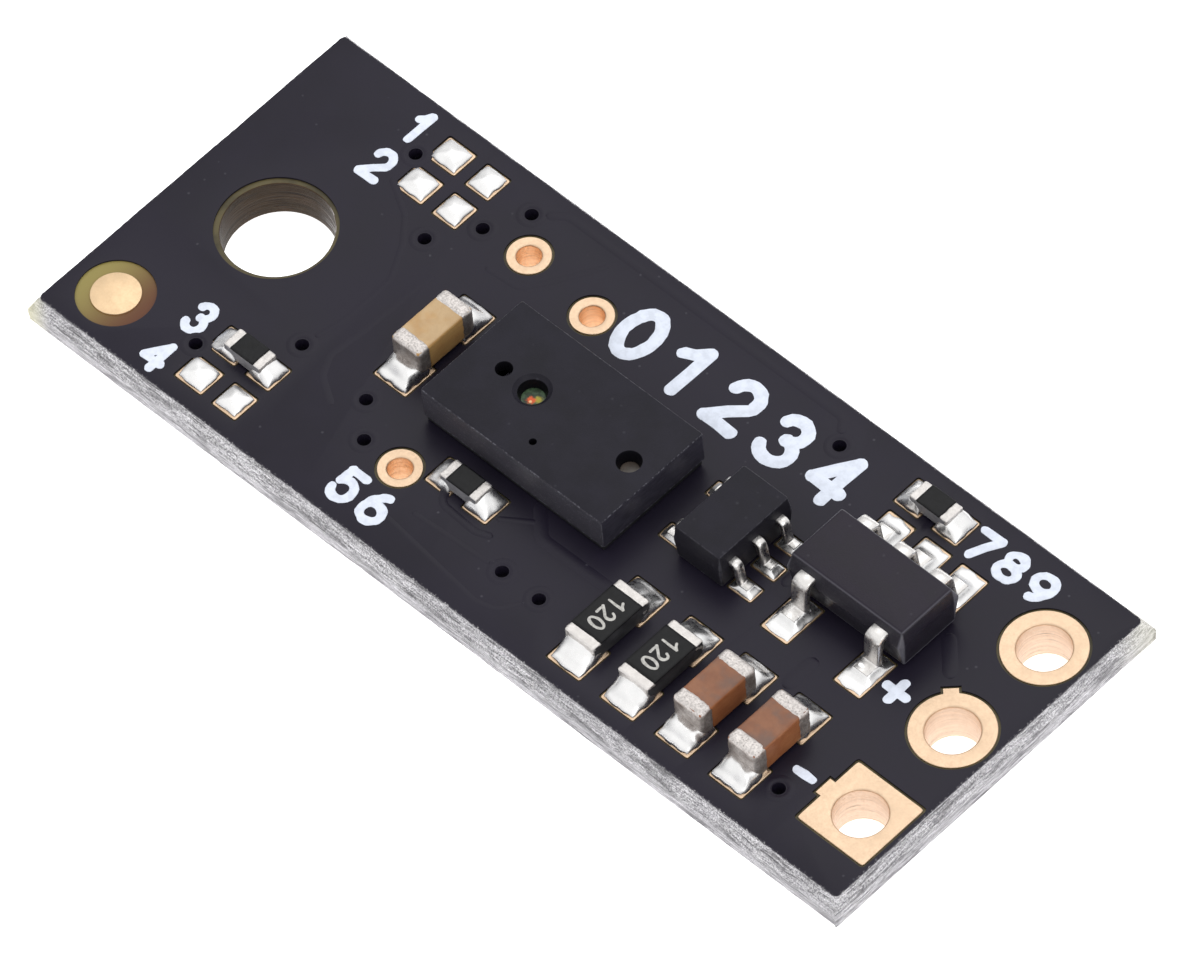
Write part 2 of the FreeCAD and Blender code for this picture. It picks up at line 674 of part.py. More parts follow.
def build_leads(name, spot):
    body = doc.addObject("PartDesign::Body", f"{name}_leads")
    thick = f"{name}_lead_thickness"
    for label, side, places in LEAD_ROWS:
        profile = sketch_on(body, f"{name}_{label}_profile", "YZ_Plane")
        profile.setExpression("AttachmentOffset.Base.z", formula(f"-{name}_pitch"))
        knee = f"{name}_span / 2 - {name}_foot"
        points = (
            (f"{name}_width / 2 - {name}_root", f"{name}_parting"),
            (f"{name}_width / 2 - {name}_root", f"{name}_parting + {thick}"),
            (knee, f"{name}_parting + {thick}"),
            (knee, thick),
            (f"{name}_span / 2", thick),
            (f"{name}_span / 2", "0"),
            (f"{knee} - {thick}", "0"),
            (f"{knee} - {thick}", f"{name}_parting"),
        )
        outline(profile, [(f"{side}({y})", z) for y, z in points])
        pad = grow(body, "Pad", f"{name}_{label}_lead", profile, f"{name}_lead_width", "Symmetric")
        row = body.newObject("PartDesign::LinearPattern", f"{name}_{label}_row")
        row.Originals = [pad]
        row.Direction = (origin_feature(body, "X_Axis"), [""])
        bind(row, Length=f"2 * {name}_pitch")
        row.Occurrences = len(places)
        body.Tip = row
    doc.recompute()
    inner, outer = f"{name}_bend", f"{name}_bend + {thick}"
    knee = value(f"{name}_span / 2 - {name}_foot")
    heel = knee - value(thick)
    drop = value(f"{name}_parting")
    for label, radius, places in (
        ("outer_bends", outer, ((knee, drop + value(thick)), (heel, 0.0))),
        ("inner_bends", inner, ((knee, value(thick)), (heel, drop))),
    ):
        def bent(edge):
            middle = edge.CenterOfMass
            flat = edge.BoundBox.YLength + edge.BoundBox.ZLength < CLOSE
            near = [abs(abs(middle.y) - y) + abs(middle.z - z) < CLOSE for y, z in places]
            return flat and any(near)
        bare = body.Tip
        rounding = body.newObject("PartDesign::Fillet", f"{name}_{label}")
        rounding.Base = (bare, edges_where(bare.Shape, bent))
        bind(rounding, Radius=radius)
        body.Tip = rounding
        doc.recompute()
    return put(body, *spot)


def build_package(name, turn):
    spot = (f"{name}_x", f"{name}_y", SEAT, turn)
    frame = (f"{name}_length", f"{name}_width", f"{name}_end_draft", f"{name}_side_draft")
    halves = [
        mould_half(f"{name}_lower", *frame, f"{name}_bottom", f"{name}_parting", "top"),
        mould_half(f"{name}_upper", *frame, f"{name}_parting", f"{name}_top", "bottom"),
    ]
    mould = put(join(f"{name}_mould", halves), *spot)
    leads = build_leads(name, spot)
    body = cut(f"{name}_body", mould, leads)
    mounds = []
    for label, side, places in LEAD_ROWS:
        for place in places:
            shift = f"({place}) * {name}_pitch"
            across = f"{side}{name}_land_row"
            if turn:
                land(f"{name}_x + {across}", f"{name}_y - {shift}",
                     f"{name}_land_length", f"{name}_land_width")
            else:
                land(f"{name}_x + {shift}", f"{name}_y + {across}",
                     f"{name}_land_width", f"{name}_land_length")
            size = (f"{name}_land_width - 2 * dome_rim", f"{name}_land_length - 2 * dome_rim")
            mound = mould_half(f"{name}_mound_{len(mounds) + 1}", *size, "mound_slope", "mound_slope", "0",
                               f"{name}_mound", "bottom")
            bind(mound, **{"Placement.Base.x": shift, "Placement.Base.y": across})
            bind(mound, **{"Placement.Base.z": f"-{DROP}"})
            mounds.append(mound)
    blobs = put(group(f"{name}_mounds", mounds), *spot)
    solder = cut(f"{name}_solder", blobs, leads)
    return [body, leads, solder]


# A hole that narrows inwards, cut by a turned profile round its own axis
def sink(body, label, x, stations):
    profile = sketch_on(body, f"{label}_profile", "XZ_Plane")
    profile.setExpression("AttachmentOffset.Base.x", formula(x))
    low = stations[-1][1]
    corners = [("0", stations[0][1])] + [(radius, z) for radius, z in stations] + [("0", low)]
    outline(profile, corners)
    turned = body.newObject("PartDesign::Groove", label)
    turned.Profile = profile
    turned.ReferenceAxis = (profile, ["V_Axis"])
    turned.Angle = 360
    body.Tip = turned


# Along the sensor from its middle: the holes, the chambers' ends and the light barrier
REFERENCE_X = "reference_edge - sensor_length / 2"
RECEIVER_X = "receiver_edge - sensor_length / 2"
EMITTER_X = "sensor_length / 2 - emitter_edge"
CHAMBER_END = "sensor_length / 2 - cap_wall"
BARRIER_NEAR = "barrier_x - barrier_thickness / 2"
BARRIER_FAR = "barrier_x + barrier_thickness / 2"


# The opaque lid over the sensor: two chambers, a light barrier and four holes
def build_cap():
    body = doc.addObject("PartDesign::Body", "sensor_cap")
    plan = sketch_on(body, "cap_plan", "XY_Plane")
    rectangle(plan, "sensor_length", "sensor_width")
    height = "(sensor_height - substrate_thickness)"
    pad = grow(body, "Pad", "cap_block", plan, height)
    doc.recompute()
    top = value(height)
    bevel = body.newObject("PartDesign::Chamfer", "cap_bevel")
    bevel.Base = (pad, edges_where(pad.Shape, lambda edge: abs(edge.BoundBox.ZMin - top) < CLOSE))
    bind(bevel, Size="cap_edge")
    body.Tip = bevel
    chambers = sketch_on(body, "cap_chambers", "XY_Plane")
    width = "sensor_width / 2 - cap_wall"
    for low, high in ((f"-({CHAMBER_END})", BARRIER_NEAR), (BARRIER_FAR, CHAMBER_END)):
        outline(chambers, [(low, f"-({width})"), (high, f"-({width})"), (high, width), (low, width)])
    depth = f"{height} - cap_roof"
    pocket = grow(body, "Pocket", "cap_hollows", chambers, depth)
    pocket.Reversed = True
    holes = sketch_on(body, "cap_holes", "XY_Plane")
    circle(holes, REFERENCE_X, "0", "reference_radius")
    circle(holes, "vent_x", "vent_y", "vent_radius")
    drilled = grow(body, "Pocket", "cap_straight_holes", holes, height)
    drilled.Reversed = True
    inside = f"{height} - cap_roof"
    receiver = (
        ("receiver_mouth", height),
        ("receiver_bore", f"{height} - receiver_rim_depth"),
        ("receiver_throat", inside),
    )
    sink(body, "receiver_aperture", RECEIVER_X, receiver)
    sink(body, "emitter_aperture", EMITTER_X, (("emitter_mouth", height), ("emitter_throat", inside)))
    return put(body, "sensor_x", "0", f"{SEAT} + substrate_thickness")


# Joints in each of the two rows under the sensor, as places in pitches
JOINT_PLACES = ("-2.5", "-1.5", "-0.5", "0.5", "1.5", "2.5")


def build_sensor():
    floor = f"{SEAT} + substrate_thickness"
    size = ("sensor_length - 2 * substrate_inset", "sensor_width - 2 * substrate_inset")
    substrate = block("sensor_substrate", *size, "substrate_thickness", "sensor_x", "0", SEAT)
    room = "sensor_height - substrate_thickness - cap_roof - inner_gap"
    die_size = (
        f"{BARRIER_NEAR} + {CHAMBER_END} - 2 * die_end_clearance",
        "sensor_width - 2 * cap_wall - 2 * die_side_clearance",
        "receiver_die_height",
    )
    die_x = f"sensor_x + ({BARRIER_NEAR} - ({CHAMBER_END})) / 2"
    die = block("sensor_receiver", *die_size, die_x, "0", floor)
    filter_size = ("filter_size", "filter_size", f"{room} - receiver_die_height")
    filter_spot = (f"sensor_x + {RECEIVER_X}", "0", f"{floor} + receiver_die_height")
    colour_filter = block("sensor_filter", *filter_size, *filter_spot)
    emitter_length = f"{CHAMBER_END} - ({BARRIER_FAR}) - 2 * emitter_clearance"
    emitter_x = f"sensor_x + ({BARRIER_FAR} + {CHAMBER_END}) / 2"
    emitter = block("sensor_emitter", emitter_length, "emitter_width", room, emitter_x, "0", floor)
    joints = []
    for row in ("-", ""):
        for place in JOINT_PLACES:
            x = f"sensor_x + ({place}) * sensor_pitch"
            y = f"{row}sensor_land_row"
            land(x, y, "sensor_land_width", "sensor_land_length")
            joint = ("sensor_land_width", "sensor_land_length", DROP)
            joints.append(block(f"sensor_joint_{len(joints) + 1}", *joint, x, y, COPPER_TOP))
    return [substrate, die, colour_filter, emitter, build_cap(), group("sensor_solder", joints)]


def build_module():
    pieces = [build_laminate(), build_via_barrels(), build_fiducial(), build_jumpers()]
    pieces += build_header()
    for name in TEST_PADS:
        spot = (f"{name}_test_x", f"{name}_test_y")
        pieces.append(build_eyelet(f"test_pad_{name}", "test_hole_radius", "test_pad_radius", *spot))
    pieces += build_sensor()
    pieces += build_package("regulator", 0)
    pieces += build_package("logic", -90)
    spot = ("jumper_x", f"-{JUMPER_INNER}")
    pieces += build_resistor("left_resistor", "small", *spot, 0, own_lands=False)
    for name in ("middle", "right"):
        spot = (f"{name}_resistor_x", f"{name}_resistor_y")
        pieces += build_resistor(f"{name}_resistor", "small", *spot, 0)
    for name in ("first", "second"):
        pieces += build_resistor(f"{name}_divider", "big", f"{name}_divider_x", "divider_y", 90)
        pieces += build_capacitor(f"{name}_brown_capacitor", f"{name}_brown_x", "brown_y", 90)
    pieces += build_capacitor("tan_capacitor", "tan_x", "tan_y", 90)
    pieces.append(group("copper_lands", lands))
    pieces += [build_mask("front"), build_mask("back")]
    return pieces


def check(pieces):
    for thing in doc.Objects:
        if "Invalid" in thing.State or "Error" in thing.State:
            raise RuntimeError(f"{thing.Label} did not build: {thing.State}")
    for piece in pieces:
        if piece.Shape.isNull() or not piece.Shape.isValid() or not piece.Shape.Solids:
            raise RuntimeError(f"{piece.Label} has no valid solid")


pieces = build_module()
doc.recompute()
check(pieces)
os.makedirs("parts", exist_ok=True)
for piece in pieces:
    piece.Shape.exportStep(f"parts/{piece.Label}.step")
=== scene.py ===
import math
from collections import namedtuple

import bmesh
import bpy
from mathutils import Matrix, Vector, noise


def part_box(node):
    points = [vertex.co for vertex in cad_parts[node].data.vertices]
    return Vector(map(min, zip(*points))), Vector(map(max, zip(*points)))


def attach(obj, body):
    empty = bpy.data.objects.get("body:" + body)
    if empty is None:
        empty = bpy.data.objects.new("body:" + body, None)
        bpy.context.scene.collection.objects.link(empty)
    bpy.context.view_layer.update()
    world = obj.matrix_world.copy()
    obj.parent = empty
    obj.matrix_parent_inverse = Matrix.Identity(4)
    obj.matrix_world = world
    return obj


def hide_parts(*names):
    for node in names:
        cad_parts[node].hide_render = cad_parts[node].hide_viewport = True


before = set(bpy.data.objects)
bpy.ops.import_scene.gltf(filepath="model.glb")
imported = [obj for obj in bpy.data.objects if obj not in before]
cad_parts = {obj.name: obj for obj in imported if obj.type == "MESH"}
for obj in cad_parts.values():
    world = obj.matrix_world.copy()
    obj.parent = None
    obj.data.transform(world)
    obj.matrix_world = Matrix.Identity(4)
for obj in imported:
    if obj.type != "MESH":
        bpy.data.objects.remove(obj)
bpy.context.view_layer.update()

# Dresses the distance sensor module for a picture. All lengths in the mesh code are millimetres
# in the CAD frame: X along the board, Y across it, Z up from the underside.

bl_info = {
    "name": "Distance Sensor Module",
    "version": (1, 0, 0),
    "blender": (4, 5, 0),
    "location": "3D View > Sidebar > Sensor Module",
    "description": "Dresses a small circuit board that carries an optical distance sensor",
    "category": "Add Mesh",
}

MM = 0.001


# Boxes of the CAD nodes, in millimetres

def node_box(node):
    low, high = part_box(node)
    return low / MM, high / MM


def node_islands(node):
    """The box of each separate solid of a CAD node."""
    bm = bmesh.new()
    bm.from_mesh(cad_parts[node].data)
    bmesh.ops.remove_doubles(bm, verts=bm.verts, dist=1e-7)
    boxes, seen = [], set()
    for start in bm.verts:
        if start in seen:
            continue
        island, front = [], [start]
        seen.add(start)
        while front:
            vert = front.pop()
            island.append(vert.co / MM)
            for edge in vert.link_edges:
                other = edge.other_vert(vert)
                if other not in seen:
                    seen.add(other)
                    front.append(other)
        boxes.append((Vector([min(co[axis] for co in island) for axis in range(3)]),
                      Vector([max(co[axis] for co in island) for axis in range(3)])))
    bm.free()
    return boxes


def middle(box):
    return (box[0] + box[1]) / 2


# Places and sizes that come from the CAD boxes

BOARD_LOW, BOARD_HIGH = node_box("laminate")
LAMINATE_LOW, LAMINATE_TOP = BOARD_LOW.z, BOARD_HIGH.z
FILM_HIGH = node_box("solder_mask_front")[1]
MASK_TOP = FILM_HIGH.z
COPPER_TOP = node_box("copper_lands")[1].z
LANDS = node_islands("copper_lands")
SENSOR_LOW, SENSOR_HIGH = node_box("sensor_substrate")
VIAS = [middle(box) for box in node_islands("via_barrels")]
FIDUCIAL = middle(node_box("fiducial_dot"))

# Holes and rings by radius, and the square ring by its side
VIA_HOLE, TEST_HOLE, TEST_RING = 0.14, 0.25, 0.449
HEADER_HOLE, HEADER_RING, HEADER_SQUARE = 0.54, 0.864, 1.695
MOUNT_RADIUS, MOUNT_FRONT_RING, MOUNT_BACK_RING = 1.125, 1.236, 1.32
FIDUCIAL_RADIUS, FIDUCIAL_WINDOW = 0.511, 0.803
MOUNT_X = BOARD_LOW.x + 2.51
MOUNT_SHIFT = 0.03  # how far the opening of the film lies off the mounting hole
HEADER_PITCH = 2.54
HEADER_X = node_box("header_pad_out")[1].x - HEADER_RING
HEADERS = {"header_pad_minus": (HEADER_X, -HEADER_PITCH), "header_pad_plus": (HEADER_X, 0.0),
           "header_pad_out": (HEADER_X, HEADER_PITCH)}
TESTS = {pad: middle(node_box(pad)).xy
         for pad in ("test_pad_left", "test_pad_right", "test_pad_enable")}

PLATING = 0.03  # thickness of a barrel
WINDOW_GAP, LAND_GAP = 0.05, 0.03  # between a land and the rim of its window
SKIN = 0.004  # how deep a raised shape sits in the face under it
SINK = 0.01  # how deep gold sits in the laminate
BACK_INSET = 0.06  # of the back film and of the laminate's core behind the snapped edge
SCORE_DEPTH = 0.33  # of each V cut in the edge, from its face of the board
EDGE_STEP = 0.05  # between the vertices along a torn edge
THROUGH = (-1, 2)  # heights that lie below and above the whole board
POOL_STEPS = 30  # rows of vertices across a pool of solder

# Stubs of traces at the header lands, as (place across, reach, width, turn in degrees)
TABS = {"header_pad_plus": (0.0, HEADER_RING + 0.1, 0.3, 135),
        "header_pad_minus": (-HEADER_PITCH, HEADER_SQUARE / 2 + 0.12, 0.4, 180)}

# Traces that stand out under the film, as (points, width, share of the full relief)
BURIED = (
    (((-1.45, -2.35), (-1.3, -2.6), (-0.35, -2.66), (-0.1, -2.56)), 0.2, 1.0),
    (((0.22, -1.44), (0.72, -1.94), (2.5, -1.92)), 0.32, 1.3),
    (((-0.2, -2.13), (0.38, -1.72)), 0.16, 0.8),
    (((-1.5, -3.11), (0.68, -2.99)), 0.16, 0.45),
    (((-1.8, -3.53), (0.75, -3.82), (1.2, -3.72), (1.66, -2.99)), 0.16, 0.45),
    (((-7.4, 2.3), (-6.65, 1.87), (-6.18, 1.32), (-5.77, 0.56), (-5.76, -0.7), (-5.96, -1.68)),
     0.18, 0.4),
    (((-5.2, 1.1), (-5.25, 0.85), (-5.29, -0.62), (-5.38, -1.5), (-5.14, -1.95), (-4.6, -2.28)),
     0.2, 0.3),
    (((-4.5, 2.0), (-3.75, 2.05), (-3.3, 2.7), (-2.85, 3.5)), 0.18, 0.4),
    (((-4.8, 3.5), (-4.2, 3.95), (0.6, 3.95), (3.1, 3.95), (3.5, 3.5)), 0.25, 0.8),
    (((4.95, 0.45), (4.95, 1.6), (4.95, 2.3)), 0.3, 1.0),
    (((8.2, 1.46), (8.7, 0.96)), 0.36, 1.0),
    (((6.6, -0.7), (6.6, -1.2)), 0.4, 1.0),
)

# Solder at the ends of the chip parts: climb, height over the land and bulge between them
SMALL_MOUND, LARGE_MOUND = (0.16, 0.13, 0.05), (0.20, 0.15, 0.08)
CAPACITOR_MOUND = (0.12, 0.20, 0.11)
JUMPER_MOUND, JUMPER_RIM = (0.02, 0.13, 0.0), 0.012
RESISTORS = (("left_resistor", SMALL_MOUND), ("middle_resistor", SMALL_MOUND),
             ("right_resistor", SMALL_MOUND), ("first_divider", LARGE_MOUND),
             ("second_divider", LARGE_MOUND))
CAPACITORS = (("first_brown_capacitor", "brown"), ("second_brown_capacitor", "brown"),
              ("tan_capacitor", "tan"))

# Moulded packages. Way is the axis that the leads point along, draft how far each side leans in,
# parting the height of the mould's joint over the film, soft the radius of the upper edges and
# climb that of the solder. Finish is what moulded_material takes after the box
Package = namedtuple("Package", "name way foot thickness bend draft parting soft climb finish")
PACKAGES = (
    Package("regulator", 1, 0.36, 0.16, 0.13, Vector((0.03, 0.12, 0)), 0.74, 0.07, 0.12,
            (0.28, 0.05, 0.90, 0.34, 0.24, 0.3)),
    Package("logic", 0, 0.24, 0.12, 0.09, Vector((0.04, 0.04, 0)), 0.56, 0.03, 0.06,
            (0.42, 0.03, 0.60, 0.14, 0.16, 0.1)),
)
LID_FINISH = (0.36, 0.03, 0.53, 0.5, 0.14, 1.0)


def land_near(spot):
    return min(LANDS, key=lambda box: (middle(box).xy - spot.xy).length)


def under_sensor(box):
    spot = middle(box)
    return SENSOR_LOW.x < spot.x < SENSOR_HIGH.x and SENSOR_LOW.y < spot.y < SENSOR_HIGH.y


# Settings that a user would change

def length(label, description, default):
    return bpy.props.FloatProperty(
        name=label, description=description, default=default, min=0.0,
        precision=4, unit="LENGTH", subtype="DISTANCE")


def share(label, description, default):
    return bpy.props.FloatProperty(
        name=label, description=description, default=default, min=0.0, max=1.0, subtype="FACTOR")


def colour(label, description, default):
    return bpy.props.FloatVectorProperty(
        name=label, description=description, default=default, min=0.0, max=1.0, size=3,
        subtype="COLOR")


class BoardSettings(bpy.types.PropertyGroup):
    film: colour("Film", "Colour of the solder mask", (0.0104, 0.0083, 0.0170))
    film_roughness: share("Film Roughness", "Roughness of the solder mask", 0.36)
    fibre: colour("Fibre", "Snapped glass fibre at the edges", (0.90, 0.866, 0.926))
    resin: colour("Resin", "Resin that shows in the windows of the film", (0.075, 0.060, 0.024))
    ink: colour("Ink", "Printed marks", (0.74, 0.79, 0.90))
    ink_thickness: length("Ink Thickness", "Height of the printed marks", 0.012 * MM)
    stroke: length("Stroke", "Width of the printed marks", 0.2 * MM)
    fray: length("Fray", "How far the snapped edges are uneven", 0.06 * MM)
    tear: length("Tear", "How far the rim of the film is torn", 0.018 * MM)
    relief: length("Relief", "Height of the traces under the film", 0.010 * MM)


class MetalSettings(bpy.types.PropertyGroup):
    gold: colour("Gold", "Lands and rings", (0.75, 0.555, 0.385))
    dot: colour("Dot", "Alignment dot", (0.78, 0.573, 0.356))
    wall: colour("Hole Wall", "Walls of the large plated holes", (0.80, 0.64, 0.51))
    small_wall: colour("Small Hole Wall", "Walls of the small plated holes", (0.97, 0.69, 0.45))
    solder: colour("Solder", "Solder", (0.84, 0.835, 0.83))
    tin: colour("Tin", "End caps of the chip parts", (0.64, 0.60, 0.575))
    lead: colour("Lead", "Leads of the packages", (0.76, 0.74, 0.72))
    rim: length("Rim", "Bare land round the solder", 0.008 * MM)


class PartSettings(bpy.types.PropertyGroup):
    lid: colour("Lid", "Lid of the sensor", (0.0135, 0.0125, 0.0190))
    regulator: colour("Regulator", "Moulding of the regulator", (0.0108, 0.0074, 0.0152))
    logic: colour("Logic Chip", "Moulding of the logic chip", (0.0125, 0.0115, 0.0175))
    glaze: colour("Glaze", "Top of the resistors", (0.0035, 0.0035, 0.0042))
    alumina: colour("Alumina", "Sides of the resistors", (0.15, 0.148, 0.158))
    brown: colour("Brown", "Brown capacitors", (0.235, 0.078, 0.027))
    tan: colour("Tan", "Tan capacitor", (0.46, 0.245, 0.085))
    filter_tint: colour("Filter", "Colour filter of the receiver", (0.05, 0.085, 0.045))
    resin: colour("Emitter Resin", "Block over the emitter", (0.16, 0.125, 0.10))


class StageSettings(bpy.types.PropertyGroup):
    floor: colour("Floor", "Floor", (0.93, 0.93, 0.93))
    horizon: colour("Horizon", "Light that comes in low from all round", (0.30, 0.30, 0.31))
    sky: bpy.props.FloatProperty(
        name="Fill", description="Strength of the light tent", default=1.16, min=0.0)
    glow: share("Floor Glow", "Light that comes up through the floor", 0.9)
    key_power: bpy.props.FloatProperty(
        name="Key", description="Power of the large lamp over the board", default=0.10,
        unit="POWER")
    side_power: bpy.props.FloatProperty(
        name="Side", description="Power of the lamp at the far side", default=0.12, unit="POWER")
    focal_length: bpy.props.FloatProperty(
        name="Focal Length", description="Focal length of the camera, in millimetres",
        default=455.96, subtype="DISTANCE_CAMERA")


# Shader node groups shared by the materials

class Graph:
    """Adds linked nodes to a node tree in few words."""

    def __init__(self, tree):
        self.tree = tree

    def add(self, kind, inputs=None, **settings):
        node = self.tree.nodes.new(f"ShaderNode{kind}")
        for key, setting in settings.items():
            setattr(node, key, setting)
        for key, source in (inputs or {}).items():
            self.feed(node.inputs[key], source)
        return node

    def feed(self, socket, source):
        if isinstance(source, bpy.types.NodeSocket):
            self.tree.links.new(source, socket)
        elif socket.type == "RGBA" and len(source) == 3:
            socket.default_value = (*source, 1.0)
        else:
            socket.default_value = source

    def maths(self, operation, first, second=0.0, third=0.0):
        return self.add("Math", {0: first, 1: second, 2: third}, operation=operation).outputs[0]

    def vector(self, operation, first, second=(0, 0, 0)):
        node = self.add("VectorMath", {0: first, 1: second}, operation=operation)
        return node.outputs["Value" if operation == "DISTANCE" else "Vector"]

    def split(self, source):
        """The X, Y and Z of a vector."""
        return self.add("SeparateXYZ", {0: source}).outputs

    def blend(self, factor, first, second):
        node = self.add("Mix", {"Factor": factor}, data_type="RGBA")
        self.feed(node.inputs[6], first)
        self.feed(node.inputs[7], second)
        return node.outputs[2]

    def over(self, base, mask, amount, tint):
        """Lays a tint over the base where the mask is, up to this amount."""
        return self.blend(self.maths("MULTIPLY", mask, amount), base, tint)

    def between(self, factor, low, high):
        return self.maths("MULTIPLY_ADD", factor, high - low, low)

    def ramp(self, source, low, high):
        node = self.add("MapRange", {"Value": source, "From Min": low, "From Max": high})
        node.interpolation_type = "SMOOTHSTEP"
        return node.outputs["Result"]

    def noise(self, where, scale, detail, roughness=0.5):
        return self.add("TexNoise", {"Vector": where, "Scale": scale, "Detail": detail,
                                     "Roughness": roughness}).outputs[0]

    def place(self):
        """The place on the module, in millimetres."""
        where = self.add("TexCoord").outputs["Object"]
        return self.add("VectorMath", {0: where, "Scale": 1 / MM}, operation="SCALE").outputs[0]

    def facing(self):
        """The X, Y and Z of the way that the surface faces."""
        return self.split(self.add("TexCoord").outputs["Normal"])

    def group(self, name, inputs):
        node = self.add("Group", node_tree=bpy.data.node_groups[name])
        for key, source in inputs.items():
            self.feed(node.inputs[key], source)
        return node.outputs

    def grain(self, size, detail, low=0.35, high=0.65):
        return self.group("Grain", {"Size": size, "Detail": detail, "Low": low, "High": high})

    def specks(self, size, share, softness):
        return self.group("Specks", {"Size": size, "Share": share, "Softness": softness})["Mask"]

    def fibres(self, along, across):
        return self.group("Fibres", {"Along": along, "Across": across})

    def edge_wear(self, box, width, amount):
        half = (box[1] - box[0]) / 2
        return self.group("Edge Wear And Highlight", {"Middle": middle(box), "Half Size": half,
                                        "Width": width, "Amount": amount})["Mask"]


def start_group(name, inputs, outputs=("Mask",)):
    """A node group from (name, default) inputs, as its graph, its input sockets and its end."""
    tree = bpy.data.node_groups.new(name, "ShaderNodeTree")
    for label, default in inputs:
        kind = "NodeSocketVector" if isinstance(default, tuple) else "NodeSocketFloat"
        socket = tree.interface.new_socket(name=label, in_out="INPUT", socket_type=kind)
        socket.default_value = default
    for label in outputs:
        tree.interface.new_socket(name=label, in_out="OUTPUT", socket_type="NodeSocketFloat")
    start, end = tree.nodes.new("NodeGroupInput"), tree.nodes.new("NodeGroupOutput")
    return Graph(tree), start.outputs, end.inputs


def build_grain_group():
    graph, start, end = start_group("Grain", (("Size", 0.2), ("Detail", 4.0), ("Low", 0.35),
                                              ("High", 0.65)), ("Mask", "Height"))
    scale = graph.maths("DIVIDE", 1.0, start["Size"])
    cloud = graph.noise(graph.place(), scale, start["Detail"], 0.6)
    graph.feed(end["Mask"], graph.ramp(cloud, start["Low"], start["High"]))
    graph.feed(end["Height"], cloud)


SPECK_RADIUS = 0.42  # of the cell that a speck lies in


def build_speck_group():
    graph, start, end = start_group("Specks", (("Size", 0.1), ("Share", 0.1), ("Softness", 0.08)))
    scale = graph.maths("DIVIDE", 1.0, start["Size"])
    cells = graph.add("TexVoronoi", {"Vector": graph.place(), "Scale": scale, "Randomness": 1.0},
                      feature="F1")
    chance = graph.add("SeparateColor", {"Color": cells.outputs["Color"]}).outputs["Red"]
    chosen = graph.maths("LESS_THAN", chance, start["Share"])
    core = graph.maths("SUBTRACT", SPECK_RADIUS, start["Softness"])
    spot = graph.ramp(cells.outputs["Distance"], SPECK_RADIUS, core)
    graph.feed(end["Mask"], graph.maths("MULTIPLY", chosen, spot))


def build_edge_wear_and_highlight_group():
    graph, start, end = start_group("Edge Wear And Highlight", (("Middle", (0, 0, 0)), ("Half Size", (1, 1, 1)),
                                                  ("Width", 0.03), ("Amount", 0.6)))
    away = graph.vector("ABSOLUTE", graph.vector("SUBTRACT", graph.place(), start["Middle"]))
    parts = graph.split(graph.vector("SUBTRACT", away, start["Half Size"]))
    nearer = graph.maths("MINIMUM", parts[0], parts[1])
    farther = graph.maths("MAXIMUM", parts[0], parts[1])
    second = graph.maths("MAXIMUM", nearer, graph.maths("MINIMUM", farther, parts[2]))
    edge = graph.ramp(graph.maths("ADD", second, start["Width"]), 0.0, start["Width"])
    limit = graph.maths("SUBTRACT", 1.0, start["Amount"])
    # Patches along the edges: with a small amount they are chips of wear, with a large amount they
    # join into a line of painted highlight.
    chips = graph.ramp(graph.noise(graph.place(), 14.0, 5.0, 0.75), limit,
                       graph.maths("ADD", limit, 0.12))
    graph.feed(end["Mask"], graph.maths("MULTIPLY", edge, chips))


def build_fibre_group():
    graph, start, end = start_group("Fibres", (("Along", 0.5), ("Across", 14.0)),
                                    ("Mask", "Height"))
    parts = graph.split(graph.place())
    run = graph.maths("ADD", parts[0], parts[1])
    drift = graph.noise(graph.place(), 1.2, 2.0)
    level = graph.maths("MULTIPLY_ADD", drift, 0.12, parts[2])
    where = graph.add("CombineXYZ", {0: graph.maths("MULTIPLY", run, start["Along"]),
                                     1: graph.maths("MULTIPLY", level, start["Across"])})
    strands = graph.noise(where.outputs[0], 1.0, 8.0, 0.72)
    graph.feed(end["Mask"], graph.ramp(strands, 0.36, 0.64))
    graph.feed(end["Height"], strands)


# Materials

DUST = (0.30, 0.30, 0.34)
FIBRE_WHITE, FIBRE_BLACK = (0.95, 0.94, 0.95), (0.05, 0.048, 0.055)


def start_material(name):
    """The material of this name, with a graph and a shader where it is still to be built."""
    material = bpy.data.materials.get(name)
    if material:
        return material, None, None
    material = bpy.data.materials.new(name)
    material.use_nodes = True
    graph = Graph(material.node_tree)
    return material, graph, material.node_tree.nodes["Principled BSDF"].inputs


def paint(graph, shader, tint, rough, gloss=0.5, metal=0.0):
    graph.feed(shader["Base Color"], tint)
    graph.feed(shader["Roughness"], rough)
    shader["Specular IOR Level"].default_value = gloss
    shader["Metallic"].default_value = metal


def bump(graph, shader, *layers):
    """Bumps from (height, rise) layers: a height runs from 0 to 1, a rise is in millimetres."""
    normal = None
    for height, rise in layers:
        node = graph.add("Bump", {"Height": height, "Strength": 1.0, "Distance": rise * MM})
        if normal:
            graph.feed(node.inputs["Normal"], normal)
        normal = node.outputs["Normal"]
    graph.feed(shader["Normal"], normal)


def film_material():
    material, graph, shader = start_material("Solder mask film")
    if graph:
        board = bpy.context.scene.sensor_board
        film, rough = Vector(board.film), board.film_roughness
        cloud = graph.grain(2.2, 3.0, 0.3, 0.7)
        tint = graph.blend(cloud["Mask"], film * 0.88, film * 1.16)
        tint = graph.over(tint, graph.specks(0.10, 0.007, 0.4), 0.12, DUST)
        chips = graph.edge_wear(node_box("solder_mask_front"), 0.05, 0.46)
        tint = graph.blend(chips, tint, (0.5, 0.49, 0.50))
        paint(graph, shader, tint, graph.between(cloud["Mask"], rough - 0.03, rough + 0.04), 0.222)
        bump(graph, shader, (cloud["Height"], 0.006), (graph.grain(0.09, 3.0)["Height"], 0.0012))
    return material


